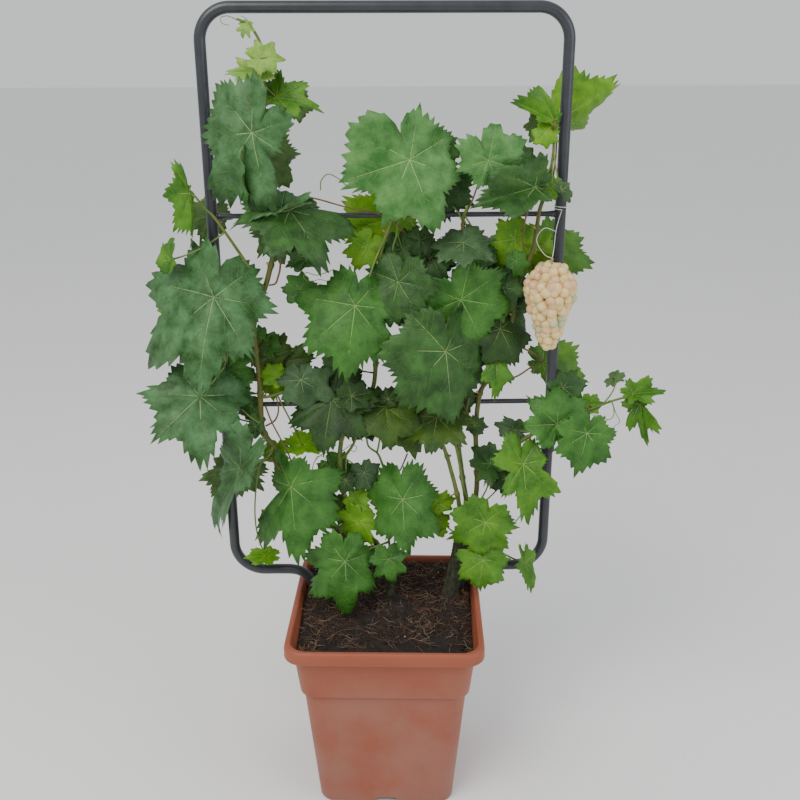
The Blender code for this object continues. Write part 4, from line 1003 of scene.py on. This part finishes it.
    def veins(self):
        """The main veins, one to each lobe, and the side veins that slant off them towards the teeth."""
        shapes = []
        scale = max(0.45, min(1.0, self.length / 85))
        for order, rib in enumerate(self.ribs):
            if abs(rib) > 150:
                continue
            tip = float(self.reach(rib)) * 0.95
            heading = math.radians(rib)
            shares = np.linspace(0, 1, 10)
            shapes.append((2, self.vein(
                shares * tip * math.cos(heading), shares * tip * math.sin(heading),
                (0.56 - 0.42 * shares) * scale * (1.0 if abs(rib) < 110 else 0.75),
            )))
            gap = 21 if abs(rib) < 60 else 18
            for k in range(6 if self.length > SMALL_LEAF else 3):
                start = tip * (0.2 + 0.125 * k if self.length > SMALL_LEAF else 0.3 + 0.2 * k)
                for side in (-1, 1):
                    slant = heading + side * math.radians(self.chance.uniform(36, 44))
                    x, y = start * math.cos(heading), start * math.sin(heading)
                    track = [(x, y)]
                    for _ in range(9):
                        x, y = x + 0.055 * math.cos(slant), y + 0.055 * math.sin(slant)
                        slant -= side * 0.035
                        away = math.degrees(math.atan2(y, x))
                        if abs(away - rib) > gap or math.hypot(x, y) > 0.93 * float(self.reach(away)) or abs(away) > 168:
                            break
                        track.append((x, y))
                    if len(track) > 2:
                        thin = np.linspace(0.3, 0.1, len(track)) * scale
                        shapes.append((3, self.vein([p[0] for p in track], [p[1] for p in track], thin)))
        return shapes


def between(first, second, share):
    """The hex colour that lies a share of the way from the first to the second."""
    pairs = [(int(first[i : i + 2], 16), int(second[i : i + 2], 16)) for i in (0, 2, 4)]
    return "".join(f"{round(a + (b - a) * share):02X}" for a, b in pairs)


leaves, stalks, side_shoots = [], [], []
fixed = ["pot", "potting_mix", "trellis_top", "trellis_upright_left", "trellis_foot_left", "trellis_upright_right",
         "trellis_foot_right", "trellis_bar_upper", "trellis_bar_lower", *[limb[0] for limb in LIMBS],
         "grape_bunch", "bunch_string"]
others = [node_tree(name) for name in fixed]
for name, carrier, places, rows in MASSES:
    chance = random.Random(f"{SEED}{name}")
    path = smooth_path([at(*place) for place in places], 2)
    side_shoots.append(tube(smooth_path([at(*place) for place in places], 8), (2.3, 1.4), 10))
    placed = []
    for row in rows:
        found = place_leaf(others, path[1:], row, placed, True)
        if found:
            leaves.append((found[0], row[3:]))
            stalks.append((found[1], row[3]))
    for row in rows:
        if row[3] < BACKED_LEAF:
            continue
        for _ in range(BACK_TRIES):
            back = partner(row, chance)
            found = place_leaf(others, path, back, placed, False)
            if found:
                leaves.append((found[0], (back[3] * BACK_GROWN, *back[4:8], 0.95, BACK_TINTS[chance.randrange(len(BACK_TINTS))])))
                stalks.append((found[1], back[3]))
                break
    others.append(node_tree(name))
for row, foot in YOUNG_LEAVES:
    hub = at(*row[:3])
    face = leaf_axes(*row[4:7])[2]
    leaves.append((hub, row[3:]))
    stalks.append((petiole_points(hub - face * 0.2 * MM, face, at(*foot), Vector(), 12), row[3]))

by_tint = {tint: ([], [], []) for tint in TINTS}
for number, (hub, row) in enumerate(leaves):
    length, turn, swing, tilt, fold, width, tint, cut, lobes = (*row, *(1.0, (1,) * 7)[len(row) - 7 :])
    points, faces, marks = by_tint[tint]
    blade = Blade(hub, length, turn, swing, tilt, fold, width, cut, lobes, 100 + number)
    blade_points, blade_faces, blade_marks = blade.mesh()
    offset = sum(len(chunk) for chunk in points)
    points.append(blade_points)
    faces += [[offset + i for i in face] for face in blade_faces]
    marks += blade_marks
    offset += len(blade_points)
    for mark, (vein_points, vein_faces) in blade.veins():
        points.append(vein_points)
        faces += [[offset + i for i in face] for face in vein_faces]
        marks += [mark] * len(vein_faces)
        offset += len(vein_points)

# Leaf: a waxy skin over green flesh, its own uneven green blotched with a painted sheen of the sky, bluish in some
# tints, and quilted by its finest veins. The under side is paler and woolly, and the veins are a yellower green.
underside = mottled("woolly_leaf_underside", "42602C", "5C7C42", 9, 0.8, 0.2, 1.4)
for tint, (points, faces, marks) in by_tint.items():
    first, second = TINTS[tint]
    finishes = [
        mottled(f"waxy_leaf_{tint}", first, second, 26, 0.5, 0.9, 3.4, Specular_IOR_Level=0.32),
        underside,
        mottled(f"main_vein_{tint}", between(second, "C4D880", 0.5), between(second, "D8E8A0", 0.6), 20, 0.5),
        mottled(f"side_vein_{tint}", between(first, "B4D070", 0.24), between(second, "C4DC8C", 0.26), 20, 0.5),
    ]
    piece = mesh_piece(f"leaves_{tint}", np.vstack(points), faces, finishes, True, marks)
    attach(piece, "root")

red_shapes, green_shapes = [], []
stalk_random = random.Random(3)
for path, length in stalks:
    thick = 0.75 + 0.75 * min(1.0, length / 80)
    shape = tube(path, [thick * 1.35, thick * 1.05] + [thick] * (len(path) - 4) + [thick * 1.05, thick * 1.25], 9)
    (red_shapes if stalk_random.random() < 0.4 else green_shapes).append(shape)
red_stalk = mottled("red_tinged_leaf_stalk", "5E3A26", "6E5A30", 24, 0.5, 0.1, 1.0)
green_stalk = mottled("green_leaf_stalk", "55702A", "6E8236", 24, 0.5, 0.1, 1.0)
for name, shapes, finish in (
    ("leaf_stalks_red", red_shapes, red_stalk), ("leaf_stalks_green", green_shapes, green_stalk),
    ("side_shoots", side_shoots, green_rind),
):
    piece = joined(name, shapes, finish)
    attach(piece, "root")
    if name == "side_shoots":
        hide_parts(*[mass[0] for mass in MASSES])


# Finer twigs and tendrils: thin side shoots that fork off the canes at their nodes, and the curled threads by
# which a vine holds on. Where the light reaches them they are red brown, elsewhere green.

TWIGS = (
    ("red", 1.3, ((-148, 862, 16), (-143, 844, 16), (-137, 829, 14))),
    ("red", 1.5, ((-127, 779, 16), (-127, 752, 18), (-129, 732, 18), (-132, 721, 18), (-136, 712, 16), (-144, 709, 12))),
    ("red", 1.1, ((-101, 820, 22), (-81, 817, 18), (-59, 810, 14), (-38, 804, 12), (-16, 800, 12), (4, 794, 11))),
    ("red", 1.4, ((-163, 519, 13), (-178, 526, 16), (-203, 534, 18))),
    ("green", 1.3, ((-162, 520, 14), (-175, 533, 20), (-188, 547, 22))),
    ("red", 1.3, ((-158, 519, 13), (-145, 528, 14), (-140, 544, 14), (-143, 562, 14))),
    ("red", 1.2, ((-157, 549, 16), (-149, 528, 22), (-137, 502, 24), (-126, 476, 26), (-120, 452, 30))),
    ("green", 2.0, ((12, 417, 9), (2, 441, 8), (-7, 468, 8), (-11, 476, 8))),
    ("green", 1.5, ((-11, 476, 8), (-23, 488, 10), (-24, 512, 12), (-20, 530, 14))),
    ("green", 1.4, ((-11, 476, 8), (-8, 492, 10), (-6, 512, 10), (-9, 540, 9))),
    ("green", 2.0, ((5, 312, 10), (20, 340, 14), (28, 372, 14), (18, 402, 10), (12, 417, 9))),
    ("red", 1.1, ((30, 476, 12), (23, 459, 14), (15, 443, 20), (18, 430, 30))),
    ("green", 2.0, ((114, 402, 10), (106, 426, 18), (100, 462, 20), (92, 500, 20), (86, 530, 18))),
    ("red", 1.3, ((112, 556, 10), (106, 534, 16), (97, 512, 18), (96, 500, 19))),
    ("green", 1.2, ((99, 786, 10), (93, 798, 12), (86, 806, 12))),
    ("red", 1.2, ((99, 786, 10), (103, 799, 14), (109, 812, 16), (118, 842, 24), (124, 860, 36))),
    ("green", 1.4, ((12, 792, 12), (2, 768, 14), (-9, 744, 14), (-20, 716, 26))),
    ("green", 1.3, ((18, 792, 12), (16, 770, 14), (12, 754, 14), (16, 724, 20))),
    ("red", 1.3, ((184, 830, 18), (180, 808, 20), (175, 790, 20), (173, 766, 18), (176, 752, 13))),
    ("red", 1.3, ((150, 574, 8), (176, 580, 0), (193, 588, -8), (208, 594, -20))),
    ("red", 1.1, ((176, 449, 14), (157, 426, 14), (139, 405, 12), (122, 392, 9))),
    ("green", 1.2, ((143, 445, 12), (139, 423, 12), (131, 405, 10), (122, 392, 9))),
    ("green", 1.0, ((120, 372, 10), (150, 350, 14), (174, 368, 18), (192, 393, 20))),
    ("red", 1.1, ((53, 746, 8), (60, 735, 8), (70, 724, 8), (98, 708, 9))),
    ("red", 1.2, ((207, 830, 10), (209, 850, 14), (212, 875, 4), (212, 896, -14))),
)
TENDRILS = (
    (0.7, ((-75, 829, 30), (-74, 840, 31), (-66, 848, 32), (-55, 844, 33), (-42, 834, 34), (-36, 838, 34),
           (-46, 844, 33), (-47, 850, 32), (-38, 853, 32), (-34, 846, 33), (-42, 840, 35), (-30, 856, 34), (-12, 862, 38))),
    (0.6, ((-62, 731, 22), (-72, 727, 24), (-84, 724, 24), (-96, 727, 22), (-100, 720, 20), (-92, 715, 20),
           (-80, 718, 22), (-66, 716, 24), (-52, 724, 26), (-36, 736, 22), (-8, 740, 12))),
    (0.7, ((-61, 476, 11), (-72, 482, 16), (-86, 478, 18), (-96, 466, 16), (-98, 452, 14), (-92, 446, 16),
           (-90, 458, 18), (-80, 470, 20), (-84, 478, 22), (-92, 476, 20), (-94, 470, 20))),
    (0.6, ((-61, 478, 11), (-52, 486, 14), (-44, 492, 16), (-38, 488, 18), (-42, 482, 18), (-47, 487, 17), (-42, 491, 16))),
    (0.7, ((290, 545, 20), (297, 552, 22), (302, 542, 24), (303, 530, 22), (297, 524, 20), (286, 530, 20),
           (276, 532, 22), (268, 538, 24))),
    (0.6, ((301, 549, 18), (306, 534, 22), (312, 522, 22), (306, 514, 20), (302, 506, 22))),
    (0.6, ((-166, 1020, 12), (-176, 1024, 12), (-184, 1022, 14), (-182, 1016, 16), (-174, 1014, 15))),
    (0.6, ((-141, 996, 10), (-147, 1008, 14), (-154, 1020, 16), (-160, 1024, 16))),
)
twig_shapes = {"red": [], "green": []}
for kind, thick, places in TWIGS:
    path = smooth_path([at(*place) for place in places], 6)
    twig_shapes[kind].append(tube(path, (thick, thick * 0.75), 9))
for thick, places in TENDRILS:
    twig_shapes["green"].append(tube(smooth_path([at(*place) for place in places], 6), (thick, thick * 0.6), 6))
for kind, finish in (("red", red_stalk), ("green", green_stalk)):
    twigs = joined(f"fine_twigs_{kind}", twig_shapes[kind], finish)
    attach(twigs, "root")


# The bunch of grapes: about a hundred round white berries on short stalks, thin skinned and a little clear,
# turned cream and pinkish on the sunny side. They crowd round a branched stalk that hangs from a string.

BUNCH_ACROSS, BUNCH_OUT = 206, 46
BUNCH_TOP, BUNCH_DROP = 733, 96
BUNCH_RADII = (15, 27, 27, 22, 17, 12, 6)
BERRY = 6.3


def berry_group():
    """Geometry Nodes tree that sets a berry on each point, each with its own size and turn."""
    group = bpy.data.node_groups.new("berries_on_points", "GeometryNodeTree")
    group.interface.new_socket("Geometry", in_out="INPUT", socket_type="NodeSocketGeometry")
    group.interface.new_socket("Geometry", in_out="OUTPUT", socket_type="NodeSocketGeometry")
    names = {}
    for label, kind in (("Berry radius", "NodeSocketFloat"), ("Size spread", "NodeSocketFloat"), ("Seed", "NodeSocketInt"),
                        ("Skin", "NodeSocketMaterial")):
        names[label] = group.interface.new_socket(label, in_out="INPUT", socket_type=kind).identifier
    given = add_node(group, "NodeGroupInput").outputs
    ball = add_node(group, "GeometryNodeMeshIcoSphere", {}, {"Radius": given["Berry radius"], "Subdivisions": 3})
    small = add_node(group, "ShaderNodeMath", {"operation": "SUBTRACT"}, {0: 1.0, 1: given["Size spread"]})
    large = add_node(group, "ShaderNodeMath", {"operation": "ADD"}, {0: 1.0, 1: given["Size spread"]})
    size = add_node(group, "FunctionNodeRandomValue", {"data_type": "FLOAT"}, {2: small.outputs[0], 3: large.outputs[0], "Seed": given["Seed"]})
    shape = add_node(group, "ShaderNodeCombineXYZ", {}, {"X": size.outputs[1], "Y": size.outputs[1]})
    longer = add_node(group, "ShaderNodeMath", {"operation": "MULTIPLY"}, {0: size.outputs[1], 1: 1.12})
    group.links.new(longer.outputs[0], shape.inputs["Z"])
    turn = add_node(group, "FunctionNodeRandomValue", {"data_type": "FLOAT_VECTOR"}, {0: (-0.9, -0.9, 0), 1: (0.9, 0.9, 6.28), "Seed": given["Seed"]})
    copies = add_node(
        group, "GeometryNodeInstanceOnPoints", {},
        {"Points": given["Geometry"], "Instance": ball.outputs["Mesh"], "Rotation": turn.outputs["Value"], "Scale": shape.outputs[0]},
    )
    real = add_node(group, "GeometryNodeRealizeInstances", {}, {"Geometry": copies.outputs["Instances"]})
    soft = add_node(group, "GeometryNodeSetShadeSmooth", {}, {"Geometry": real.outputs[0]})
    dressed = add_node(group, "GeometryNodeSetMaterial", {}, {"Geometry": soft.outputs[0], "Material": given["Skin"]})
    out = group.nodes.new("NodeGroupOutput")
    group.links.new(dressed.outputs[0], out.inputs[0])
    return group, names


bunch_random = random.Random(SEED)
berry_points = {"cream": [], "blush": [], "clear": []}
levels = 13
for level in range(levels):
    share = level / (levels - 1)
    radius = float(np.interp(share * 6, range(7), BUNCH_RADII)) + 0.4
    up = BUNCH_TOP - BUNCH_DROP * share
    count = max(3, round(math.tau * radius / 12.0))
    for i in range(count):
        angle = math.tau * (i + 0.5 * (level % 2)) / count + bunch_random.uniform(-0.12, 0.12)
        far = radius + bunch_random.uniform(-3.0, 0.6)
        spot = at(BUNCH_ACROSS, up + bunch_random.uniform(-1.6, 1.6), BUNCH_OUT) + Vector((math.cos(angle), math.sin(angle), 0)) * far * MM
        pick = bunch_random.random()
        kind = "clear" if pick < (0.3 if share > 0.6 and math.cos(angle) > 0 else 0.05) else "blush" if pick < 0.3 else "cream"
        berry_points[kind].append(spot)
        if far > 15:
            inner = spot.lerp(at(BUNCH_ACROSS, spot.z / MM, BUNCH_OUT), 10 / far)
            berry_points["cream"].append(inner + Vector((0, 0, 3.5 * MM)))
SKINS = {"cream": ("D8B878", "E8D098"), "blush": ("D0A478", "E2BE94"), "clear": ("A8B088", "C2C49C")}
tree_group, socket_names = berry_group()
first = True
for seed, (kind, spots) in enumerate(berry_points.items()):
    # Grape skin: thin and bloomed, with juicy flesh that light goes into under it.
    skin = mottled(f"bloomed_grape_skin_{kind}", *SKINS[kind], 7, 0.34, Subsurface_Weight=0.25, Subsurface_Scale=0.004)
    berries = mesh_piece(f"grapes_{kind}", spots, [], [skin])
    growth = berries.modifiers.new("berries", "NODES")
    growth.node_group = tree_group
    growth[socket_names["Berry radius"]] = BERRY * MM
    growth[socket_names["Size spread"]] = 0.1
    growth[socket_names["Seed"]] = 30 + seed
    growth[socket_names["Skin"]] = skin
    apply_modifiers(berries)
    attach(berries, "root")
    if first:
        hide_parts("grape_bunch")
        first = False

middle = at(BUNCH_ACROSS, BUNCH_TOP - BUNCH_DROP * 0.9, BUNCH_OUT)
top = at(BUNCH_ACROSS, BUNCH_TOP + 14, BUNCH_OUT)
bunch_stalks = [tube(smooth_path([top, at(BUNCH_ACROSS - 1, BUNCH_TOP, BUNCH_OUT), middle], 6), (1.9, 1.0), 10)]
for spots in berry_points.values():
    for spot in spots:
        heart = Vector((middle.x, middle.y, spot.z + 5 * MM))
        bunch_stalks.append(tube([heart, heart.lerp(spot, 0.5) + Vector((0, 0, 0.0015)), spot], (0.9, 0.7), 5))
stalk_green = mottled("grape_bunch_stalk", "8C8A4A", "A09A58", 6, 0.6, 0.1, 0.8)
bunch_stalk = joined("grape_bunch_stalk", bunch_stalks, stalk_green)
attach(bunch_stalk, "root")


# The string: thin white twine, looped twice round the right tube over the upper bar and led down to a bow
# that holds the bunch by its stalk.

def ring_round(up, rise, turns, radius, sides=26):
    points = []
    count = round(sides * turns)
    for i in range(count + 1):
        a = math.tau * i / sides
        points.append(at(RIGHT_TUBE - radius * math.sin(a), up + rise * i / count, radius * math.cos(a)))
    return points


strand = ring_round(800, 6, 1.9, TUBE + 1.0)
drop = smooth_path([strand[0], at(214, 778, 20), at(209, 758, 38), top + Vector((0, 0, 0.0006))], 8)
loop = smooth_path([top, at(196, 752, 44), at(187, 768, 38), at(197, 781, 30), at(213, 776, 22)], 8)
twine = mottled("white_twisted_twine", "D8D6CE", "EDEBE5", 1.2, 0.9, 0.3, 0.5)
string = joined("bunch_twine", [tube(strand, 0.5, 7), tube(drop, 0.45, 7), tube(loop, 0.38, 7)], twine)
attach(string, "root")
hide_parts("bunch_string")


# The floor, the light and the camera: a pale studio floor, a large soft light over the camera's left shoulder
# with a weaker one at the right, and the photograph's own viewpoint, a little above the plant.

floor_points = [Vector((x, y, 0)) for x, y in ((-30, -30), (30, -30), (30, 30), (-30, 30))]
floor_paint = mottled("pale_studio_floor", "EDEDEB", "EFEFED", 400, 0.8)
floor = mesh_piece("studio_floor", floor_points, [[0, 1, 2, 3]], [floor_paint], False)

world = bpy.data.worlds.new("studio_air")
bpy.context.scene.world = world
world.use_nodes = True
world.node_tree.nodes["Background"].inputs["Color"].default_value = linear("F4F6F8")
world.node_tree.nodes["Background"].inputs["Strength"].default_value = 0.85


def soft_light(name, place, aim, size, power, colour):
    lamp = bpy.data.lights.new(name, "AREA")
    lamp.shape, lamp.size, lamp.energy = "DISK", size, power
    lamp.color = linear(colour)[:3]
    made = bpy.data.objects.new(name, lamp)
    heading = (Vector(aim) - Vector(place)).normalized()
    made.matrix_world = Matrix.Translation(place) @ heading.to_track_quat("-Z", "Y").to_matrix().to_4x4()
    bpy.context.scene.collection.objects.link(made)


soft_light("overhead_left", (-1.1, -1.4, 2.6), (0, 0, 0.6), 1.8, 55, "FFFDF8")
soft_light("fill_right", (1.8, -1.2, 1.4), (0, 0, 0.6), 1.6, 16, "F4F8FF")

CAMERA_PLACE = Vector((-0.0138, -1.1517, 0.984))
FOCAL_PIXELS, PICTURE_PIXELS = 953.04, 800
pitch, yaw, roll = (math.radians(angle) for angle in (20.03, 1.644, -0.182))
ahead = Vector((math.sin(yaw) * math.cos(pitch), math.cos(yaw) * math.cos(pitch), -math.sin(pitch)))
level_right = Vector((math.cos(yaw), -math.sin(yaw), 0))
level_up = level_right.cross(ahead)
right = level_right * math.cos(roll) + level_up * math.sin(roll)
over = level_up * math.cos(roll) - level_right * math.sin(roll)
lens = bpy.data.cameras.new("photograph_view")
lens.sensor_width = 36
lens.lens = 36 * FOCAL_PIXELS / PICTURE_PIXELS
lens.clip_start, lens.clip_end = 0.01, 100
viewer = bpy.data.objects.new("photograph_view", lens)
viewer.matrix_world = Matrix.Translation(CAMERA_PLACE) @ Matrix((right, over, -ahead)).transposed().to_4x4()
bpy.context.scene.collection.objects.link(viewer)
bpy.context.scene.camera = viewer
